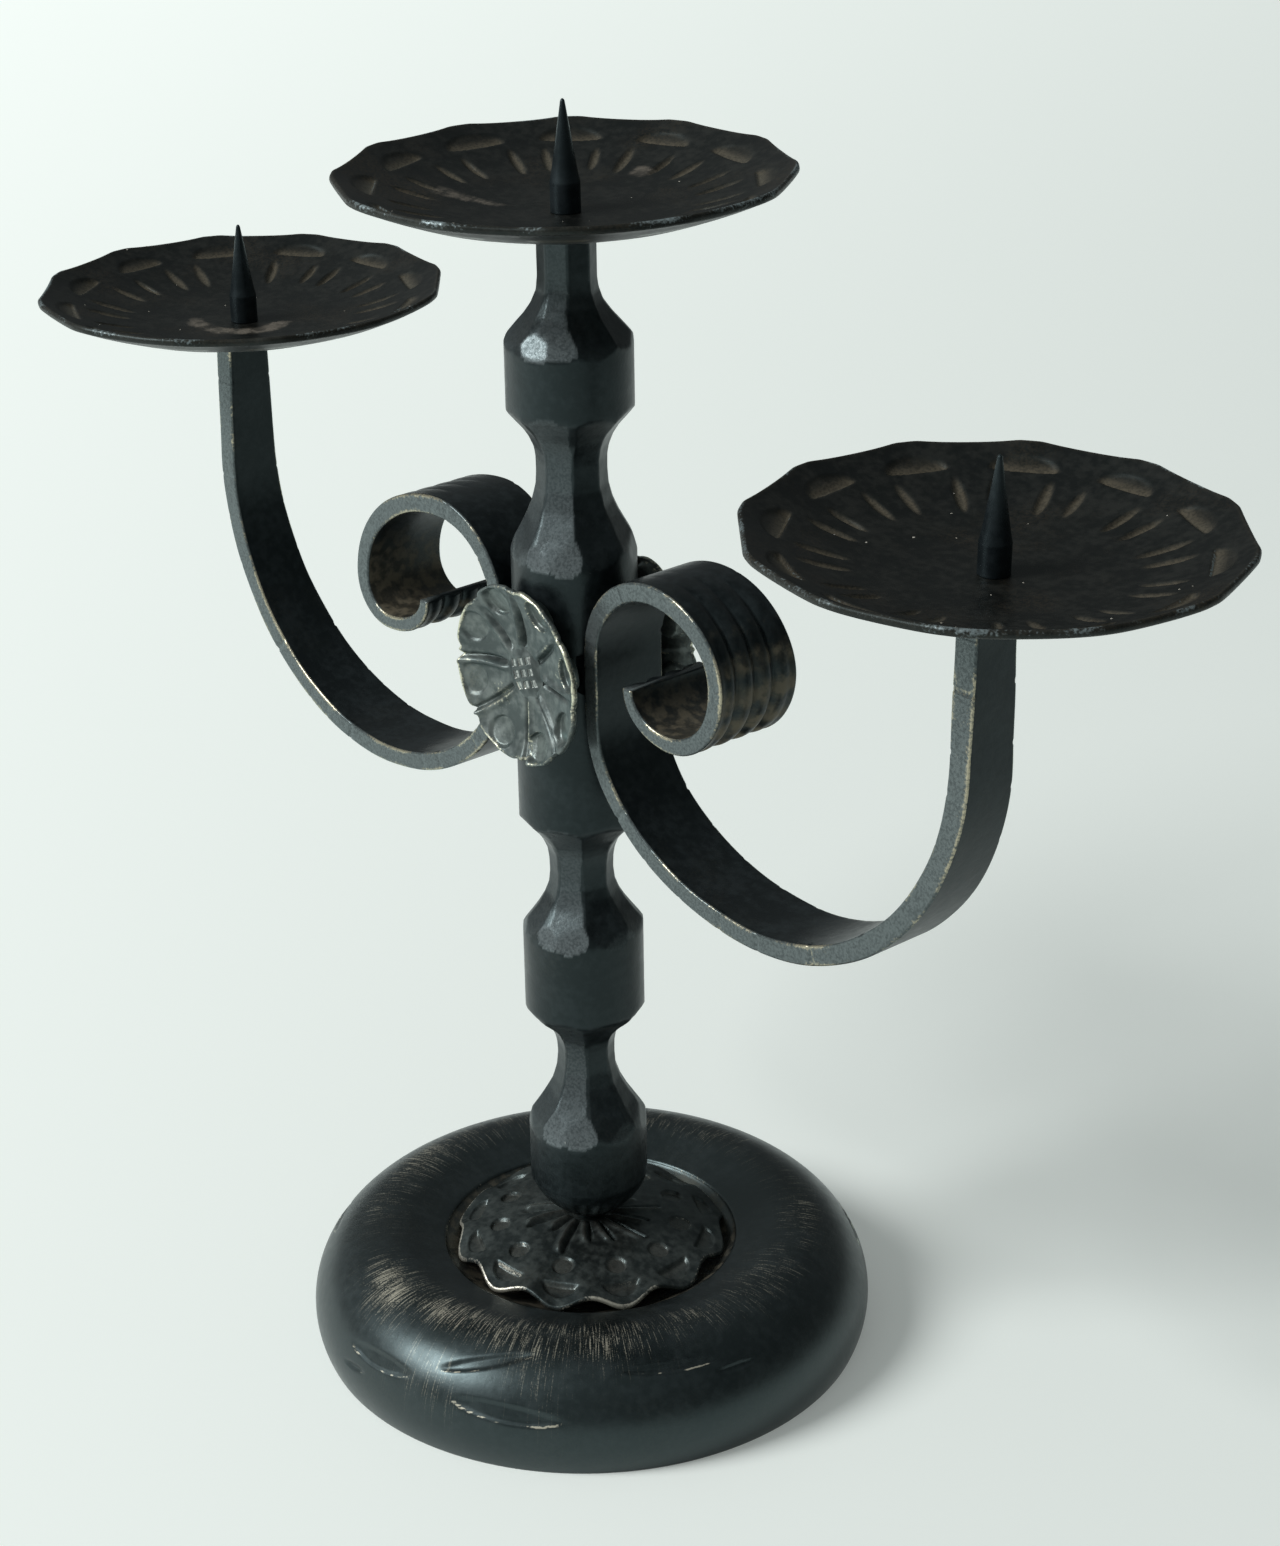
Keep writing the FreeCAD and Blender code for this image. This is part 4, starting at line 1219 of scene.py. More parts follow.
@dataclass(frozen=True)
class BaseRosette:
    """The domed, scalloped rosette over the base's well."""

    foot: float = 0.0306
    turn: float = 5.0
    lobes: int = 12
    scallop: float = 0.0018
    dot_count: int = 11
    dot_ring: float = 0.0235
    dot_turn: float = 25.0
    dot_radius: float = 0.0027
    dot_depth: float = 0.0008
    moon_ring: float = 0.0292
    moon_length: float = 0.0036
    moon_width: float = 0.0048
    moon_depth: float = 0.0013
    leaf_count: int = 15
    leaf_turn: float = 0.2
    leaf_start: float = 0.011
    leaf_swing: float = 14.0
    leaf_rise: float = 0.0008
    leaf_groove: float = 0.0009
    rows: Rows = (24, 6, 130)
    dish: Dish = Dish(0.006, 0.0355, 0.0062, 0.0015, 0.00305)
    columns: int = 384

    def build(self, forge: Forge) -> None:
        """Build the rosette, drawn hollow side down with its middle on the plane z = 0.

        Args:
            forge: What turns meshes into pieces.
        """
        angles = round_angles(self.columns)
        wave = np.cos(self.lobes * (angles - math.radians(self.turn)))
        rim = self.dish.rim - self.scallop * (1 - wave) / 2 - 0.0001 * (1 + ripple(angles, 5, (2, 5, 7)))
        rings, radius, near = self.dish.rings(angles, rim, self.rows)
        top_rows, lip_rows, _ = self.rows
        back = top_rows + lip_rows
        near[:top_rows], near[top_rows:back] = 0, 1
        near[back:] = bell(radius[back:] - radius[top_rows + lip_rows // 2], LIP_WEAR)
        rings[..., 2] *= -1
        far = smooth_step(radius, 0.0255, 0.0355)
        rings[..., 2] += far * (0.0004 * ripple(angles, 4, (3, 5, 11)) - 0.0010 * wave)
        swing = (radius - self.leaf_start) * self.leaf_swing
        leaf = (angles - self.leaf_turn - swing) * self.leaf_count / TAU
        share, which = leaf % 1.0 - 0.5, np.floor(leaf) % self.leaf_count
        length = 0.0145 + 0.0035 * np.sin(which * 2.4)
        reach = smooth_step(radius, 0.0050, 0.0072) * (1 - smooth_step(radius, length, length + 0.0024))
        aside = share * TAU * radius / self.leaf_count
        rings[..., 2] += reach * (self.leaf_rise * bell(aside, 0.0010)
                                  - self.leaf_groove * bell(aside - 0.0016, 0.0006))
        edge = np.maximum(near, 0.6 * reach * bell(aside + 0.0004, 0.0004))
        masks = {Mask.EDGE: edge, Mask.FLOOR: 0.35 * reach * bell(aside, 0.001)}
        mesh = grid_mesh("base_flower", rings, masks)
        look = forge.look(FLOWER_IRON)
        mesh = forge.punch.run(mesh, look, Count=self.dot_count, Turn=math.radians(-self.dot_turn),
                               Ring_Radius=self.dot_ring, Half_Length=self.dot_radius,
                               Half_Width=self.dot_radius, Depth=self.dot_depth, Softness=0.2, Jitter=0.5,
                               Edge=1.0, Floor=0.6, Seed=3)
        mesh = forge.punch.run(mesh, look, Count=self.lobes, Turn=math.radians(self.turn),
                               Ring_Radius=self.moon_ring, Half_Length=self.moon_length,
                               Half_Width=self.moon_width, Depth=self.moon_depth, Straight=1.0,
                               Softness=0.3, Jitter=0.4, Edge=1.2, Floor=0.6, Seed=9)
        forge.piece("base_flower", mesh, FLOWER_IRON, Slot.FORGED, ["base_rosette"],
                    Matrix.Translation((0, 0, self.foot)))


@dataclass(frozen=True)
class StemRosette:
    """A dished rosette on the stem with eight thumbed petals and creases between them."""

    name: str
    node: str
    side: int
    seed: int
    height: float = 0.1862
    seat: float = 0.0144
    petals: tuple[float, ...] = (16.0, 66.6, 115.0, 155.0, 199.0, 247.0, 290.0, 330.4)
    cup_shares: tuple[float, ...] = (1.0, 1.0, 1.0, 0.5, 0.35, 0.6, 1.0, 1.0)
    creases: tuple[float, ...] = (-7.0, 40.0, 91.0, 134.0, 178.0, 222.0, 273.0, 310.0)
    fade_shares: tuple[float, ...] = (0.95, 0.9, 0.8, 0.9, 0.3, 0.35, 0.2, 0.7)
    dish: Dish = Dish(0.0074, 0.0224, 0.0040, 0.0014, 0.00255)
    crease_swirl: float = 0.10
    crease_depths: Pair = (0.0010, 0.0017)
    crease_width: float = 0.00060
    cup_ring: float = 0.0181
    cup_depth: float = 0.0014
    cup_half_length: float = 0.0038
    cup_half_width: float = 0.0042
    rows: Rows = (84, 6, 30)
    columns: int = 320

    def place(self) -> Matrix:
        """Return the rosette's place from its back on the plane z = 0.

        Returns:
            The way from the drawing to the stand.
        """
        face = Matrix.Rotation(-self.side * math.pi / 2, 4, "X")
        return Matrix.Translation((0, self.side * self.seat, self.height)) @ face

    def build(self, forge: Forge) -> None:
        """Build the rosette.

        Args:
            forge: What turns meshes into pieces.
        """
        random = np.random.default_rng(self.seed)
        angles = round_angles(self.columns)
        notch = sum(bell(turn_gap(angles, math.radians(crease)), 0.10) for crease in self.creases)
        bumps = sum(bell(turn_gap(angles, math.radians(crease)), 0.028) for crease in self.creases)
        rim = self.dish.rim - 0.0012 * notch + 0.0005 * bumps
        rim -= 0.00012 * (1 + ripple(angles, self.seed, (9, 17, 23)))
        rings, radius, edge = self.dish.rings(angles, np.minimum(rim, self.dish.rim), self.rows)
        height, floor = np.zeros(radius.shape), np.zeros(radius.shape)
        for petal, cup in zip(self.petals, self.cup_shares):
            local = turn_gap(angles, math.radians(petal))
            outward, sideways = radius * np.cos(local) - self.cup_ring, radius * np.sin(local)
            wide = self.cup_half_width + 0.08 * outward
            inside = 1 - (outward / self.cup_half_length) ** 2 - (sideways / wide) ** 2
            inside = np.where(np.abs(local) < 1, inside, -9)
            height -= self.cup_depth * cup * smooth_step(inside, -0.02, 0.34)
            edge = np.maximum(edge, 0.95 * cup * bell(inside - 0.01, 0.08))
            floor = np.maximum(floor, 0.6 * cup * smooth_step(inside, 0, 0.5))
        for crease, fade in zip(self.creases, self.fade_shares):
            swirl = random.uniform(-self.crease_swirl, self.crease_swirl)
            depth = random.uniform(*self.crease_depths)
            local = turn_gap(angles, math.radians(crease) + swirl * (radius / 0.012 - 1))
            sideways = np.where(np.abs(local) < 1, radius * np.sin(local), 1)
            reach = smooth_step(radius, 0.0052, 0.0085) * (1 - fade * smooth_step(radius, 0.0125, 0.0205))
            height -= depth * reach * bell(sideways, self.crease_width)
            height += depth * 0.60 * reach * bell(sideways - 0.0014, 0.0008)
            edge = np.maximum(edge, 0.90 * reach * bell(sideways - 0.0012, 0.0005))
        height += smooth_step(radius, 0.018, 0.0224) * 0.0005 * bumps
        height += 0.00010 * ripple(angles, self.seed + 4, (5, 9, 13)) * smooth_step(radius, 0.007, 0.016)
        worn = smooth_step(ripple(angles, self.seed + 9, (2, 3, 5)), -0.2, 0.6)
        edge = np.maximum(edge, 0.72 * (bell(radius - 0.0125, 0.004) * worn))
        rings[..., 2] += height
        mesh = grid_mesh(self.name, rings, {Mask.EDGE: edge, Mask.FLOOR: floor})
        forge.piece(self.name, mesh, ROSETTE_IRON, Slot.ROSETTE, [self.node], self.place())


@dataclass(frozen=True)
class RivetHeads:
    """The rivet through both rosettes, spread flush and punched with nine squares in front."""

    rosette: StemRosette
    radius: float = 0.0066
    rise: float = 0.0008
    shank: float = 0.0025
    square: float = 0.0019
    pitch: float = 0.0028
    turn: float = 21.0
    depth: float = 0.0006
    columns: int = 240
    rows: int = 84

    def build(self, forge: Forge) -> None:
        """Build the rivet along Z and lay it along Y.

        Args:
            forge: What turns meshes into pieces.
        """
        angles = round_angles(self.columns)
        seat = self.rosette.seat + self.rosette.dish.sheet
        share = np.linspace(1, 0.008, self.rows)[:, None]
        radius = share * self.radius + 0 * angles
        dome = seat - 0.0001 + self.rise * (1 - smooth_step(share, 0.55, 1.0)) + 0 * radius
        lean = math.radians(self.turn)
        places = (radius * np.cos(angles - lean), radius * np.sin(angles - lean))
        gap_across, gap_along = (np.abs(place - self.pitch * np.clip(np.round(place / self.pitch), -1, 1))
                                 for place in places)
        wall = np.maximum(gap_across, gap_along) - self.square / 2
        punched = 1 - smooth_step(wall, -0.00012, 0.00008)
        slant = 0.35 + 0.65 * (gap_across / self.square)
        front = polar(radius, angles, dome - self.depth * punched * slant)
        back = polar(radius[::-1], angles, -dome[::-1])
        waist = polar(np.full((2, self.columns), self.shank), angles, np.array([[seat], [-seat]]))
        body = np.concatenate([front[::-1], waist, back[::-1]])
        edge = bell(wall + 0.00005, 0.00016)
        blank = np.zeros((2, self.columns))
        masks = {Mask.EDGE: np.concatenate([edge[::-1], blank, 0 * edge]),
                 Mask.FLOOR: np.concatenate([punched[::-1], blank, 0 * edge])}
        mesh = grid_mesh("flush_rivet", body, masks, closed=False)
        place = Matrix.Translation((0, 0, self.rosette.height)) @ Matrix.Rotation(math.pi / 2, 4, "X")
        forge.piece("flush_rivet", mesh, RIVET_IRON, Slot.ROSETTE, ["rosette_rivet"], place)


# Stem


@dataclass(frozen=True)
class Waist:
    """One hammered waist: its heights and the half thickness between flats."""

    bottom: float
    middle: float
    top: float
    half: float


@dataclass(frozen=True)
class Stem:
    """The stem: a round bar whose waists are hammered in eight flats that end in petal tips."""

    rosette: StemRosette
    bar: float = 0.0150
    foot: float = 0.0306
    neck: float = 0.0040
    neck_length: float = 0.0012
    bowl_top: float = 0.0430
    top: float = 0.2925
    flats: int = 8
    turn: float = -60.5
    spot_reach: float = 0.0108
    rows: int = 380
    columns: int = 256
    seed: int = 11
    waists: tuple[Waist, ...] = (Waist(0.0570, 0.0785, 0.0935, 0.0068), Waist(0.1125, 0.1300, 0.1470, 0.0074),
                                 Waist(0.2110, 0.2335, 0.2503, 0.0079), Waist(0.2625, 0.2795, 0.3100, 0.0065))
    blow_shares: tuple[float, ...] = (0.0, 0.16, 0.32, 0.47, 0.61, 0.75, 0.88, 1.0)
    tenon: float = 0.0030
    tenon_end: float = 0.0094
    knot_stray: float = 0.025
    depth_stray: float = 0.012
    start_stray: float = 0.035
    run_out: float = 1.06
    ridge_outs: Pair = (1.045, 1.08)
    tip_offsets: Pair = (-0.24, 0.17)
    tip_slopes: Pair = (0.62, 0.92)
    tip_pasts: Pair = (-0.0018, -0.0006)
    tip_hold: float = 0.36
    tip_length: float = 0.8
    # The front flat faces the key light: its lightening is painted highlight, and on its lower tips it is
    # wear and painted highlight.
    front_painted_highlight: float = 0.46
    tip_polish_and_highlight: float = 0.74
    edge_fade: float = 0.00010
    burr_length: float = 0.0055
    bowl_rows: int = 40
    far: float = 1.0
    least_lean: float = 0.3

    def ends(self) -> list[tuple[Waist, float, float]]:
        """Return each half of each waist with its outer end and the power of its curve.

        Returns:
            Each half as (waist, end, power).
        """
        halves = [(waist, end, power) for waist in self.waists
                  for end, power in ((waist.bottom, 1.2), (waist.top, 1.65))]
        return [half for half in halves if half[1] < self.top]

    @staticmethod
    def depth_share(share: Points, power: float) -> Points:
        """Return how far out a flat has come at a share of the way from its waist to the bar."""
        return 1.10 * smooth_step(0.94 * share ** power, 0, 1)

    def flat_reach(self, heights: Points, random: np.random.Generator, out: float) -> Points:
        """Return one flat's distance from the axis, made by a few hammer blows.

        Args:
            heights: Heights along the stem.
            random: Where each blow's shift comes from.
            out: How far out the flat is, as a factor of the waist's own flats.

        Returns:
            The flat's distance at each height.
        """
        reach = np.full(heights.shape, 2 * self.bar)
        last = self.waists[-1]
        reach = np.where(heights >= last.middle, last.half * out, reach)
        for waist, end, power in self.ends():
            knots = np.array(self.blow_shares)
            knots[1:-1] += random.uniform(-self.knot_stray, self.knot_stray, len(knots) - 2)
            depths = self.depth_share(knots, power)
            depths[1:-1] += random.uniform(-self.depth_stray, self.depth_stray, len(knots) - 2)
            share = (heights - waist.middle) / (end - waist.middle) + random.uniform(-self.start_stray, 0.0)
            blown = np.interp(share, np.append(knots, self.run_out), np.append(depths, 1.5))
            shape = (waist.half + (self.bar - waist.half) * blown) * out
            struck = (share >= -self.start_stray) & (share <= self.run_out)
            reach = np.where(struck, np.minimum(reach, shape), reach)
        return reach

    def tip_reach(self, heights: Points, waist: Waist, end: float, slope: float, past: float) -> Points:
        """Return the distance of a small blow that blunts a flat's tip.

        Args:
            heights: Heights along the stem.
            waist: The waist that the flat belongs to.
            end: The height where the flat runs out.
            slope: How fast the blow goes in, as a share of the flat's own fall.
            past: How far past the flat's end it starts.

        Returns:
            The blow's distance at each height.
        """
        length = abs(waist.middle - end)
        along = (heights - end) * (1 if waist.middle > end else -1) + past
        fall = slope * (self.bar - waist.half) / length
        cut = 0.9985 * self.bar - fall * np.minimum(along, self.tip_hold * length)
        return np.where((along > -MM) & (along < self.tip_length * length), cut, 2 * self.bar)

    def round_reach(self, heights: Points) -> Points:
        """Return the unhammered bar's radius with the bowl and neck of its foot.

        Args:
            heights: Heights along the stem.

        Returns:
            The radius at each height.
        """
        bowl_bottom = self.foot + self.neck_length
        share = np.clip((heights - bowl_bottom) / (self.bowl_top - bowl_bottom), 0, 1)
        bowl = self.neck + (self.bar - self.neck) * (0.6 * np.sqrt(share) + 0.4 * np.sin(share * math.pi / 2))
        sides = np.stack([np.full(heights.shape, self.bar), np.where(share >= 1, self.far, bowl)], -1)
        return soft_least(sides, 0.0002)

    def plane(self, angles: Points, direction: float, reach: Points) -> Points:
        """Return the radius of a flat that faces a direction, far out where it faces away.

        Args:
            angles: Directions of the stem's columns, in radians.
            direction: Where the flat faces.
            reach: Its distance from the axis at each height.

        Returns:
            The radius as (height, direction).
        """
        lean = np.cos(turn_gap(angles, direction))
        least = self.least_lean
        return np.where(lean > least, reach[:, None] / np.maximum(lean, least), self.far)

    def blows(self, heights: Points, angles: Points,
              random: np.random.Generator) -> tuple[list[Points], list[float]]:
        """Return the surfaces left by all hammer blows, and how light each one is painted: random wear, and
        painted highlight on the front flat and its tips.

        Args:
            heights: Heights along the stem.
            angles: Directions of its columns, in radians.
            random: Where all shifts come from.

        Returns:
            The surfaces as (height, direction), and their lightening from 0 to 1.
        """
        surfaces, polish_and_highlight = [], []
        sector = TAU / self.flats
        for index in range(self.flats):
            direction = math.radians(self.turn) + sector * index + random.uniform(-0.03, 0.03)
            surfaces.append(self.plane(angles, direction, self.flat_reach(heights, random, 1.0)))
            # Painted highlight on the front flat, which faces the key light; the other flats get random wear.
            polish_and_highlight.append(random.uniform(0.0, 0.20) + (self.front_painted_highlight if index == 0 else 0))
            ridge = direction + sector * random.uniform(0.44, 0.56)
            ridge_reach = self.flat_reach(heights, random, random.uniform(*self.ridge_outs))
            surfaces.append(self.plane(angles, ridge, ridge_reach))
            polish_and_highlight.append(random.uniform(0.0, 0.16))
            for waist, end, _ in self.ends():
                # The front flat's lower tips: wear and painted highlight.
                rubbed = index == 0 and end == waist.bottom
                for offset in self.tip_offsets:
                    slope, past = random.uniform(*self.tip_slopes), random.uniform(*self.tip_pasts)
                    if rubbed:
                        slope, past = slope + 0.20, past + 0.0006
                    aim = direction + offset + random.uniform(-0.07, 0.07)
                    shine, struck = random.uniform(0.0, 0.45), random.uniform(0, 1) < 0.5
                    if rubbed or struck:
                        reach = self.tip_reach(heights, waist, end, slope, past)
                        surfaces.append(self.plane(angles, aim, reach))
                        polish_and_highlight.append(self.tip_polish_and_highlight if rubbed else shine ** 1.5)
        return surfaces, polish_and_highlight

    def build(self, forge: Forge) -> None:
        """Build the stem.

        Args:
            forge: What turns meshes into pieces.
        """
        random = np.random.default_rng(self.seed)
        bowl = self.foot + (self.bowl_top - self.foot) * np.linspace(0, 1, self.bowl_rows) ** 1.6
        upper = np.linspace(self.bowl_top, self.top, self.rows - self.bowl_rows + 1)
        heights = np.concatenate([bowl[:-1], upper])
        angles = round_angles(self.columns)
        surfaces, polish_and_highlight = self.blows(heights, angles, random)
        stack = np.stack([np.repeat(self.round_reach(heights)[:, None], self.columns, 1), *surfaces], -1)
        radius = soft_least(stack, 0.00005)
        # Lighter facets: random wear, and painted highlight on the front flat, which faces the key light, and
        # on its lower tips.
        polished_and_lit = np.array([0.0, *polish_and_highlight])[np.argmin(stack, -1)]
        knots = [place for waist in self.waists for place in (waist.bottom, waist.middle, waist.top)]
        polished_and_lit *= np.interp(heights, knots, [1.0, 0.4, 0.4] * len(self.waists))[:, None]
        ordered = np.sort(stack, -1)
        least, second = ordered[..., 0], ordered[..., 1]
        edge = 0.62 * np.exp(-(second - least) / self.edge_fade) * (least < self.bar - 0.00003)
        edge[:self.bowl_rows + 2] = 0
        burr = smooth_step(heights, self.top - self.burr_length, self.top)[:, None]
        radius *= 1 + burr * (0.05 + 0.04 * ripple(angles, 8, (5, 8, 13)))
        radius += 0.00004 * np.sin(heights * 900)[:, None] * ripple(angles, 6, (3, 4, 7))
        radius = np.minimum(radius, self.bar)
        rings = polar(radius, angles, heights[:, None])
        seat = self.rosette.seat
        spot = np.hypot(rings[..., 0], rings[..., 2] - self.rosette.height) < self.spot_reach
        rings[..., 1] = np.where(spot, np.clip(rings[..., 1], -seat, seat), rings[..., 1])
        tenon = polar(self.tenon * np.array([[0.85], [1.0], [1.0]]), angles,
                      np.array([[self.tenon_end], [self.tenon_end + 0.0005], [self.foot - 0.0001]]))
        plain = np.zeros(tenon.shape[:2])
        masks = {Mask.EDGE: np.concatenate([plain, edge]),
                 Mask.FLOOR: np.concatenate([plain, 0.8 * polished_and_lit])}
        mesh = grid_mesh("hammered_stem", np.concatenate([tenon, rings]), masks, closed=False)
        forge.piece("hammered_stem", mesh, STEM_IRON, Slot.FORGED, ["stem"])


# Arms


@dataclass(frozen=True)
class Station:
    """A bar's width, thickness and sideways place at a named point of its path."""

    width: float
    thickness: float
    place: float

    def array(self) -> Points:
        """Return the three sizes as an array."""
        return np.array(astuple(self))


@dataclass(frozen=True)
class Arm:
    """A flat bar from its pan's seat down, round and up the stem into its scroll."""

    name: str
    node: str
    side: int
    seat: Pair
    tilt: float
    straight: float
    bottom: Pair
    stem_low: float
    stem_high: float
    crest: Pair
    outside: Pair
    curl: Pair
    tip: Pair
    seed: int
    stem_line: float = 0.0173
    corner: float = 0.0006
    outer_count: int = 49
    inner_count: int = 17
    inner_middle: int = 72
    rib_depth: float = 0.0023
    hammer_waves: Triple = (330.0, 190.0, 260.0)
    streak_waves: float = 420.0
    outer_dirt: float = 1.3
    inner_dirt: float = 0.9
    row_length: float = 0.00056
    least_rows: int = 14
    at_pan: Station = Station(0.0118, 0.0066, -0.0013)
    at_bend: Station = Station(0.0138, 0.0060, -0.0016)
    at_bottom: Station = Station(0.0200, 0.0048, 0.0)
    at_stem: Station = Station(0.0208, 0.0046, 0.0)
    at_crest: Station = Station(0.0220, 0.0049, 0.0)
    at_outside: Station = Station(0.0235, 0.0047, 0.0)
    at_curl: Station = Station(0.0240, 0.0039, 0.0)
    at_tip: Station = Station(0.0240, 0.0032, 0.0)

    def path(self) -> tuple[Points, Points, Points, Points]:
        """Return the bar's path.

        Returns:
            Middles, headings, sizes, and how far each middle is into the scroll from 0 to 1.
        """
        bend = (self.seat[0], self.seat[1] - self.straight)
        low, high = (self.stem_line, self.stem_low), (self.stem_line, self.stem_high)
        legs = ((self.seat, bend, None, self.at_pan, self.at_bend, 0, 0),
                (bend, self.bottom, True, self.at_bend, self.at_bottom, 0, 0),
                (self.bottom, low, False, self.at_bottom, self.at_stem, 0, 0),
                (low, high, None, self.at_stem, self.at_stem, 0, 0),
                (high, self.crest, True, self.at_stem, self.at_crest, 0, 0.05),
                (self.crest, self.outside, False, self.at_crest, self.at_outside, 0.05, 1),
                (self.outside, self.curl, True, self.at_outside, self.at_curl, 1, 1),
                (self.curl, self.tip, False, self.at_curl, self.at_tip, 1, 0.7))
        parts = middles, headings, sizes, scroll = [], [], [], []
        for start, end, upright, first, last, scroll_start, scroll_end in legs:
            run, rise = end[0] - start[0], end[1] - start[1]
            count = max(self.least_rows, int(math.hypot(run, rise) / self.row_length))
            share = np.linspace(0, 1, count + 1)[(1 if middles else 0):]
            angle = share * math.pi / 2
            across, up, way_across, way_up = share, share, np.ones(len(share)), np.ones(len(share))
            if upright is not None:
                across, up = np.sin(angle), 1 - np.cos(angle)
                way_across, way_up = np.cos(angle), np.sin(angle)
            if upright:
                across, up, way_across, way_up = up, across, way_up, way_across
            middles.append(np.stack([start[0] + run * across, start[1] + rise * up], -1))
            heading = np.stack([run * way_across, rise * way_up], -1)
            headings.append(heading / np.linalg.norm(heading, axis=1, keepdims=True))
            sizes.append(first.array() + (last.array() - first.array()) * share[:, None])
            scroll.append(scroll_start + (scroll_end - scroll_start) * share)
        headings[0][0] = (-math.sin(math.radians(self.tilt)), -math.cos(math.radians(self.tilt)))
        return tuple(np.concatenate(part) for part in parts)

    def section(self, sizes: Points, scroll: Points) -> tuple[Points, Points, Points, Points]:
        """Return the bar's rounded section at every station.

        Args:
            sizes: Width, thickness and sideways place of each station.
            scroll: How ribbed each station is.

        Returns:
            Places across and outwards of each section point, its edge wear, and how narrow its face is.
        """
        half, thick = sizes[:, :1] / 2, sizes[:, 1:2] / 2
        corner = self.corner
        share = np.linspace(-1, 1, self.outer_count)[None, :]
        lobes = np.abs(np.sin(2 * math.pi * (share + 1)))
        dip = (1 - lobes ** 0.75) * smooth_step(1 - np.abs(share), 0.02, 0.2)
        outer = (share * (half - corner), thick - self.rib_depth * scroll[:, None] ** 1.4 * dip)
        inner_share = np.linspace(1, -1, self.inner_count)[None, :]
        inner = (inner_share * (half - corner), -thick + 0 * inner_share)
        turn = np.linspace(0, math.pi / 2, 6)[1:-1]
        rise = np.linspace(-1, 1, 7)[None, :]
        parts = [], [], [], []

        def add(*numbers: Points | float) -> None:
            """Add points to the section: places across and outwards, wear and narrowness."""
            shape = (len(sizes), numbers[0].shape[1])
            for part, number in zip(parts, numbers):
                part.append(np.broadcast_to(number, shape))

        def bend(side: int, level: int, order: Points) -> None:
            """Add one rounded corner."""
            add(side * (half - corner + corner * np.sin(order)[None, :]),
                level * (thick - corner + corner * np.cos(order)[None, :]), 1.0, 0.8)

        for side, broad in ((1, outer), (-1, inner)):
            add(*broad, 0.0, 0.0)
            bend(side, side, turn)
            add(side * half + 0 * rise, -side * rise * (thick - corner),
                0.34 + 0.4 * bell(1 - np.abs(rise), 0.25), 1.0)
            bend(side, -side, turn[::-1])
        return tuple(np.concatenate(part, 1) for part in parts)

    def build(self, forge: Forge) -> None:
        """Build the arm.

        Args:
            forge: What turns meshes into pieces.
        """
        middles, headings, sizes, scroll = self.path()
        across, out, edge, narrow = self.section(sizes, scroll)
        length = np.concatenate([[0], np.cumsum(np.linalg.norm(np.diff(middles, axis=0), axis=1))])
        quick, slow, thick = self.hammer_waves
        hammered = np.sin(length * quick + 2 * self.seed) + np.sin(length * slow + self.seed)
        across = across * (1 - 0.006 * (1 + hammered[:, None] / 2))
        out = out * (1 - 0.02 * (1 + np.sin(length * thick + self.seed)[:, None]))
        normal = np.stack([-headings[:, 1], headings[:, 0]], -1)
        rings = np.empty((*across.shape, 3))
        rings[..., 0] = self.side * (middles[:, :1] + normal[:, :1] * out)
        rings[..., 1] = across + sizes[:, 2:3]
        rings[..., 2] = middles[:, 1:2] + normal[:, 1:2] * out
        column = np.arange(across.shape[1])
        outer = column < self.outer_count
        inside = np.abs(column - self.inner_middle) < self.inner_count / 2
        streaks = 0.4 + 0.6 * np.sin(length * self.streak_waves + 1)[:, None] ** 2
        dirt = scroll[:, None] ** 2 * (self.outer_dirt * outer * streaks + self.inner_dirt * inside)
        masks = {Mask.EDGE: edge * 0.9, Mask.FLOOR: narrow * 0.8, Mask.DIRT: dirt}
        mesh = grid_mesh(self.name, rings, masks, closed=False)
        set_points(mesh, "run", np.broadcast_to(length[:, None], across.shape))
        set_points(mesh, "narrow", narrow * (1 - np.minimum(scroll * 3, 1))[:, None])
        mesh = forge.chisel.run(mesh, forge.look(FORGED_IRON), Seed=self.seed)
        forge.piece(self.name, mesh, FORGED_IRON, Slot.FORGED, [self.node])


@dataclass(frozen=True)
class HiddenFixings:
    """The pieces whose solids are right as they are: fixings under the base and weld beads."""

    plated: tuple[str, ...] = ("base_spacer", "base_washer", "base_nut")
    forged: tuple[str, ...] = ("arm_welds",)

    def build(self, forge: Forge) -> None:
        """Give each carried node its finish.

        Args:
            forge: What turns meshes into pieces.
        """
        for names, finish in ((self.plated, FIXING_STEEL), (self.forged, FORGED_IRON)):
            for name in names:
                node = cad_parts[name]
                node.data.materials.clear()
                node.data.materials.append(forge.look(finish))
                LOG.info("%s: carried over", name)


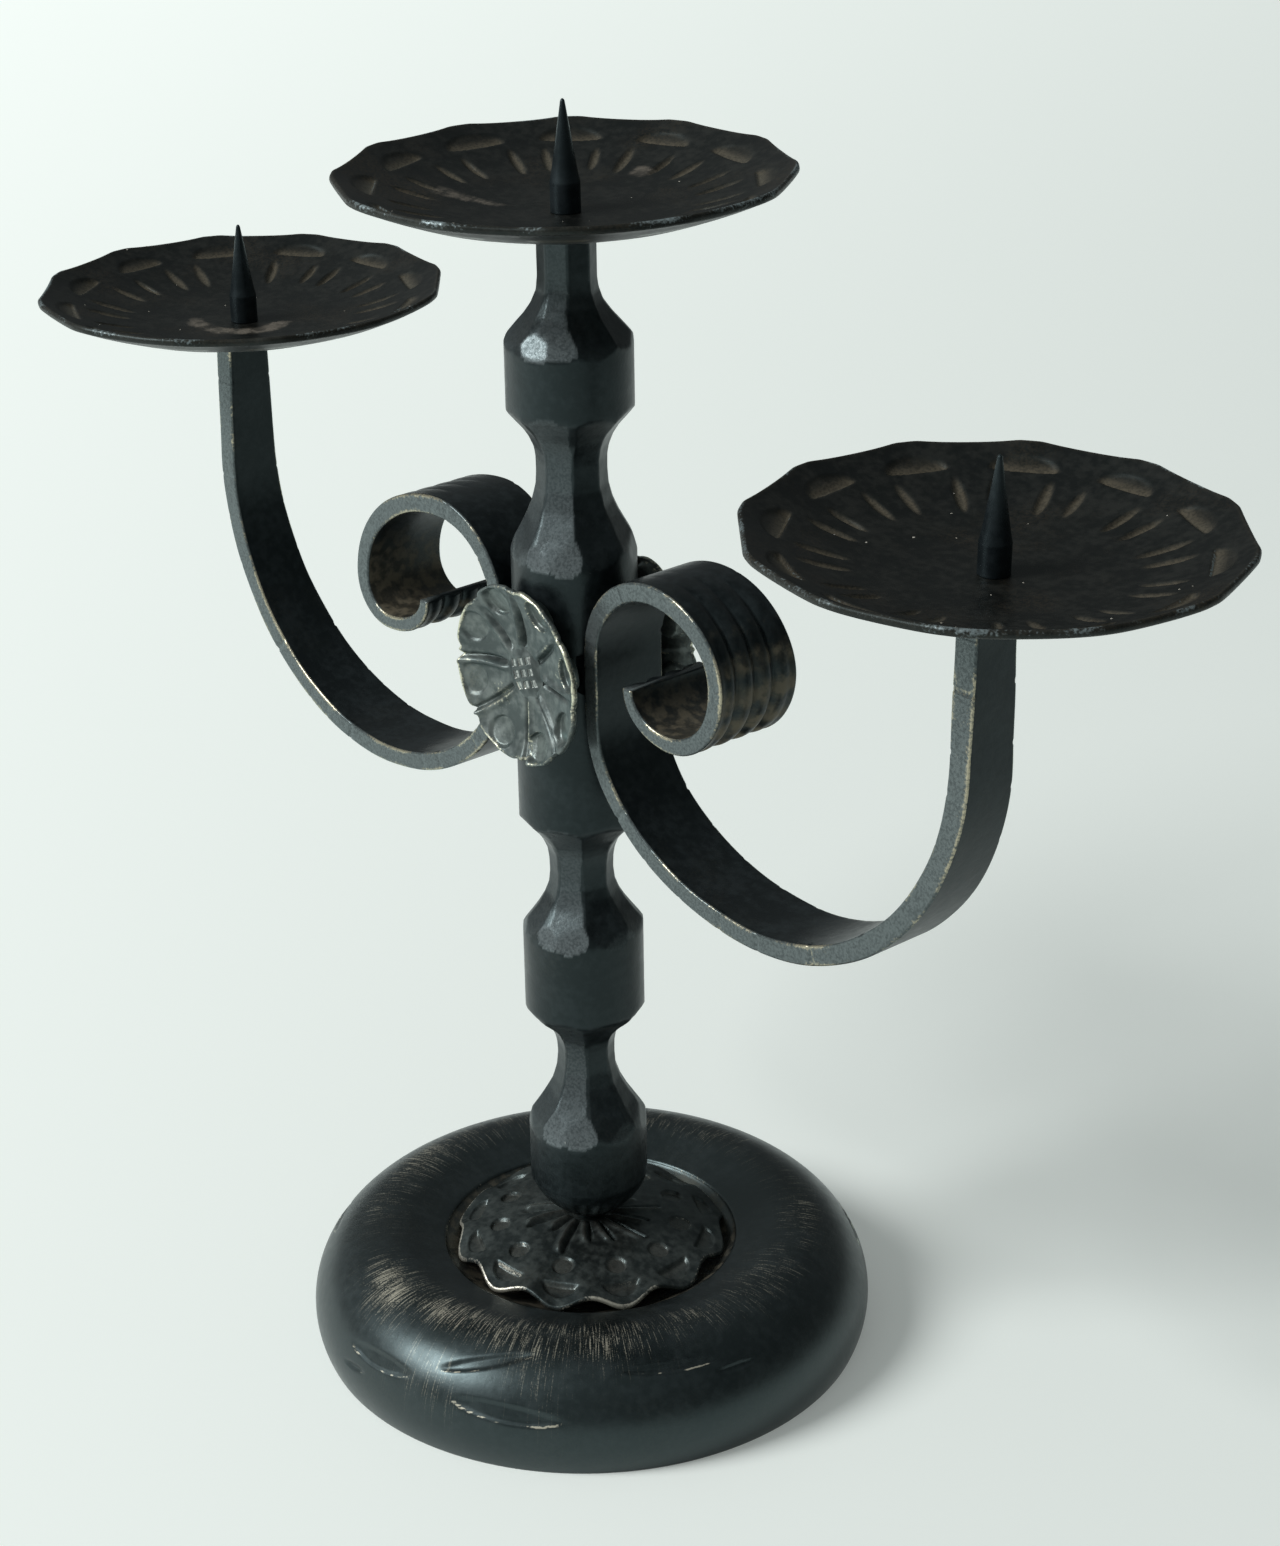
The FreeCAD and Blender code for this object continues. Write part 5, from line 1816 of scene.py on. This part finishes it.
@dataclass(frozen=True)
class Studio:
    """Pale floor, soft light and the camera at the photograph's angle."""

    azimuth: float = 49.45
    elevation: float = 24.24
    distance: float = 0.7560
    sideways: float = 0.01476
    height: float = 0.15506
    roll: float = -0.0161
    focal_pixels: float = 3100.0
    image_height: float = 1546.0
    sensor: float = 36.0
    clip: Pair = (0.05, 50)
    floor_radius: float = 9.0
    floor_sides: int = 96
    floor_gloss: float = 0.7
    floor_color: Triple = (0.79, 0.842, 0.81)
    sky_color: Triple = (0.80, 0.86, 0.85)
    sky_dim: float = 0.13
    sky_bright: float = 0.42
    sky_seen: float = 0.85
    glow: float = 0.20
    glow_side: float = 0.22
    glow_far: float = 0.42
    glow_way: Pair = (0.65, 0.76)
    glow_far_step: Pair = (-0.3, 2.6)
    key_power: float = 112.0
    key_size: float = 1.7
    key_place: Triple = (-1.13, -2.54, 2.28)

    def camera(self) -> None:
        """Place the camera."""
        turn, lift = math.radians(self.azimuth), math.radians(self.elevation)
        right = Vector((math.cos(turn), math.sin(turn), 0))
        back = Vector((math.sin(turn) * math.cos(lift), -math.cos(turn) * math.cos(lift), math.sin(lift)))
        upward = back.cross(right)
        across = right * math.cos(self.roll) + upward * math.sin(self.roll)
        upright = upward * math.cos(self.roll) - right * math.sin(self.roll)
        data = bpy.data.cameras.new("camera")
        data.sensor_width = self.sensor
        data.lens = self.focal_pixels * self.sensor / self.image_height
        data.clip_start, data.clip_end = self.clip
        camera = placed("camera", data)
        where = right * self.sideways + UP * self.height + back * self.distance
        turned = Matrix((across, upright, back)).transposed().to_4x4()
        camera.matrix_world = Matrix.Translation(where) @ turned
        bpy.context.scene.camera = camera

    def floor(self) -> None:
        """Lay a wide round floor."""
        mesh = bpy.data.meshes.new("floor")
        rim = polar(self.floor_radius, round_angles(self.floor_sides), 0.0)
        mesh.from_pydata(rim.tolist(), [], [list(range(self.floor_sides))])
        material = bpy.data.materials.new("pale_floor")
        material.use_nodes = True
        shader = material.node_tree.nodes["Principled BSDF"]
        shader.inputs["Base Color"].default_value = (*self.floor_color, 1)
        shader.inputs["Roughness"].default_value = self.floor_gloss
        self.show_glow(material.node_tree, shader)
        mesh.materials.append(material)
        floor = placed("floor", mesh)

    def show_glow(self, tree: Tree, shader: Node) -> None:
        """Lift the floor's colour where the camera, a gloss or a glass sees it, and nowhere else.

        Args:
            tree: The floor material's tree.
            shader: The floor's shader.
        """
        path = tree.nodes.new("ShaderNodeLightPath")
        rays = [Value(tree, path.outputs[name]) for name in
                ("Is Camera Ray", "Is Glossy Ray", "Is Transmission Ray")]
        seen = rays[0].of("MAXIMUM", rays[1]).of("MAXIMUM", rays[2])
        across, along, _ = axes(object_place(tree))
        side, far = self.glow_way
        window = (across * -side + along * -far).smooth(-1.0, 1.0) * self.glow_side
        back = (across * -far + along * side).smooth(*self.glow_far_step) * self.glow_far
        glow = window + back + (self.glow - self.glow_side / 2)
        shader.inputs["Emission Color"].default_value = (*self.floor_color, 1)
        feed(shader.inputs["Emission Strength"], seen * glow)

    def lamps(self) -> None:
        """Hang the soft key light on the window's side."""
        data = bpy.data.lights.new("key", "AREA")
        data.shape = "DISK"
        data.size = self.key_size
        data.energy = self.key_power
        lamp = placed("key", data)
        where = Vector(self.key_place)
        aim = (where - UP * self.height).to_track_quat("Z", "Y").to_matrix().to_4x4()
        lamp.matrix_world = Matrix.Translation(where) @ aim

    def sky(self) -> None:
        """Set a soft sky that is brighter on the window's side."""
        world = bpy.data.worlds.new("sky")
        world.use_nodes = True
        tree = world.node_tree
        shader = tree.nodes["Background"]
        shader.inputs["Color"].default_value = (*self.sky_color, 1)
        side = tree.nodes.new("ShaderNodeVectorMath")
        side.operation = "DOT_PRODUCT"
        tree.links.new(tree.nodes.new("ShaderNodeTexCoord").outputs["Generated"], side.inputs[0])
        side.inputs[1].default_value = Vector(self.key_place).normalized()
        share = Value(tree, side.outputs["Value"]).smooth(-0.2, 1.0)
        lit = share * (self.sky_bright - self.sky_dim) + self.sky_dim
        seen = Value(tree, tree.nodes.new("ShaderNodeLightPath").outputs["Is Camera Ray"]) * self.sky_seen
        feed(shader.inputs["Strength"], lit.of("MAXIMUM", seen))
        bpy.context.scene.world = world

    def build(self) -> None:
        """Set the scene up."""
        bpy.context.scene.view_settings.view_transform = "Standard"
        self.camera()
        self.floor()
        self.lamps()
        self.sky()


def main() -> None:
    """Build the stand piece by piece, then the studio round it."""
    logging.basicConfig(level=logging.INFO, format="%(message)s")
    forge = Forge()
    pans = (
        (Pan("top_pan", "pan_top", 19.0, (0.0, 0.3050), 0.0, 31, 0.5,
             (Stain(207, 0.024, 7, 0.010, 0.9), Stain(105, 0.031, 6, 0.003, 1.0),
              Stain(20, 0.030, 12, 0.006, 0.4))),
         "top_spike", "spike_top"),
        (Pan("right_pan", "pan_right", 5.0, (0.1340, 0.2546), 2.0, 41, 0.6,
             (Stain(185, 0.045, 7, 0.003, 0.5), Stain(260, 0.030, 20, 0.010, 0.25))),
         "right_spike", "spike_right"),
        (Pan("left_pan", "pan_left", 5.0, (-0.1340, 0.2521), 0.0, 51, 0.0,
             (Stain(318, 0.0108, 72, 0.0034, 1.0), Stain(20, 0.0105, 25, 0.0028, 0.8),
              Stain(235, 0.0125, 22, 0.003, 0.7))),
         "left_spike", "spike_left"))
    for pan, spike, node in pans:
        pan.build(forge)
        Spike(spike, node, pan).build(forge)
    BaseShell().build(forge)
    BaseRosette().build(forge)
    front = StemRosette("front_rosette", "rosette_front", -1, 21)
    front.build(forge)
    StemRosette("back_rosette", "rosette_back", 1, 22).build(forge)
    RivetHeads(front).build(forge)
    Stem(front).build(forge)
    Arm("right_arm", "arm_right", 1, (0.133564, 0.242108), 2.0, 0.0381, (0.0720, 0.1404), 0.1780, 0.1930,
        (0.0400, 0.2154), (0.0620, 0.1978), (0.0456, 0.1810), (0.0323, 0.1906), 61).build(forge)
    Arm("left_arm", "arm_left", -1, (0.1340, 0.2396), 0.0, 0.0346, (0.0700, 0.1420), 0.1820, 0.1940,
        (0.0385, 0.2164), (0.0704, 0.1910), (0.0600, 0.1810), (0.0448, 0.1906), 71).build(forge)
    HiddenFixings().build(forge)
    Studio().build()


if __name__ == "__main__":
    main()
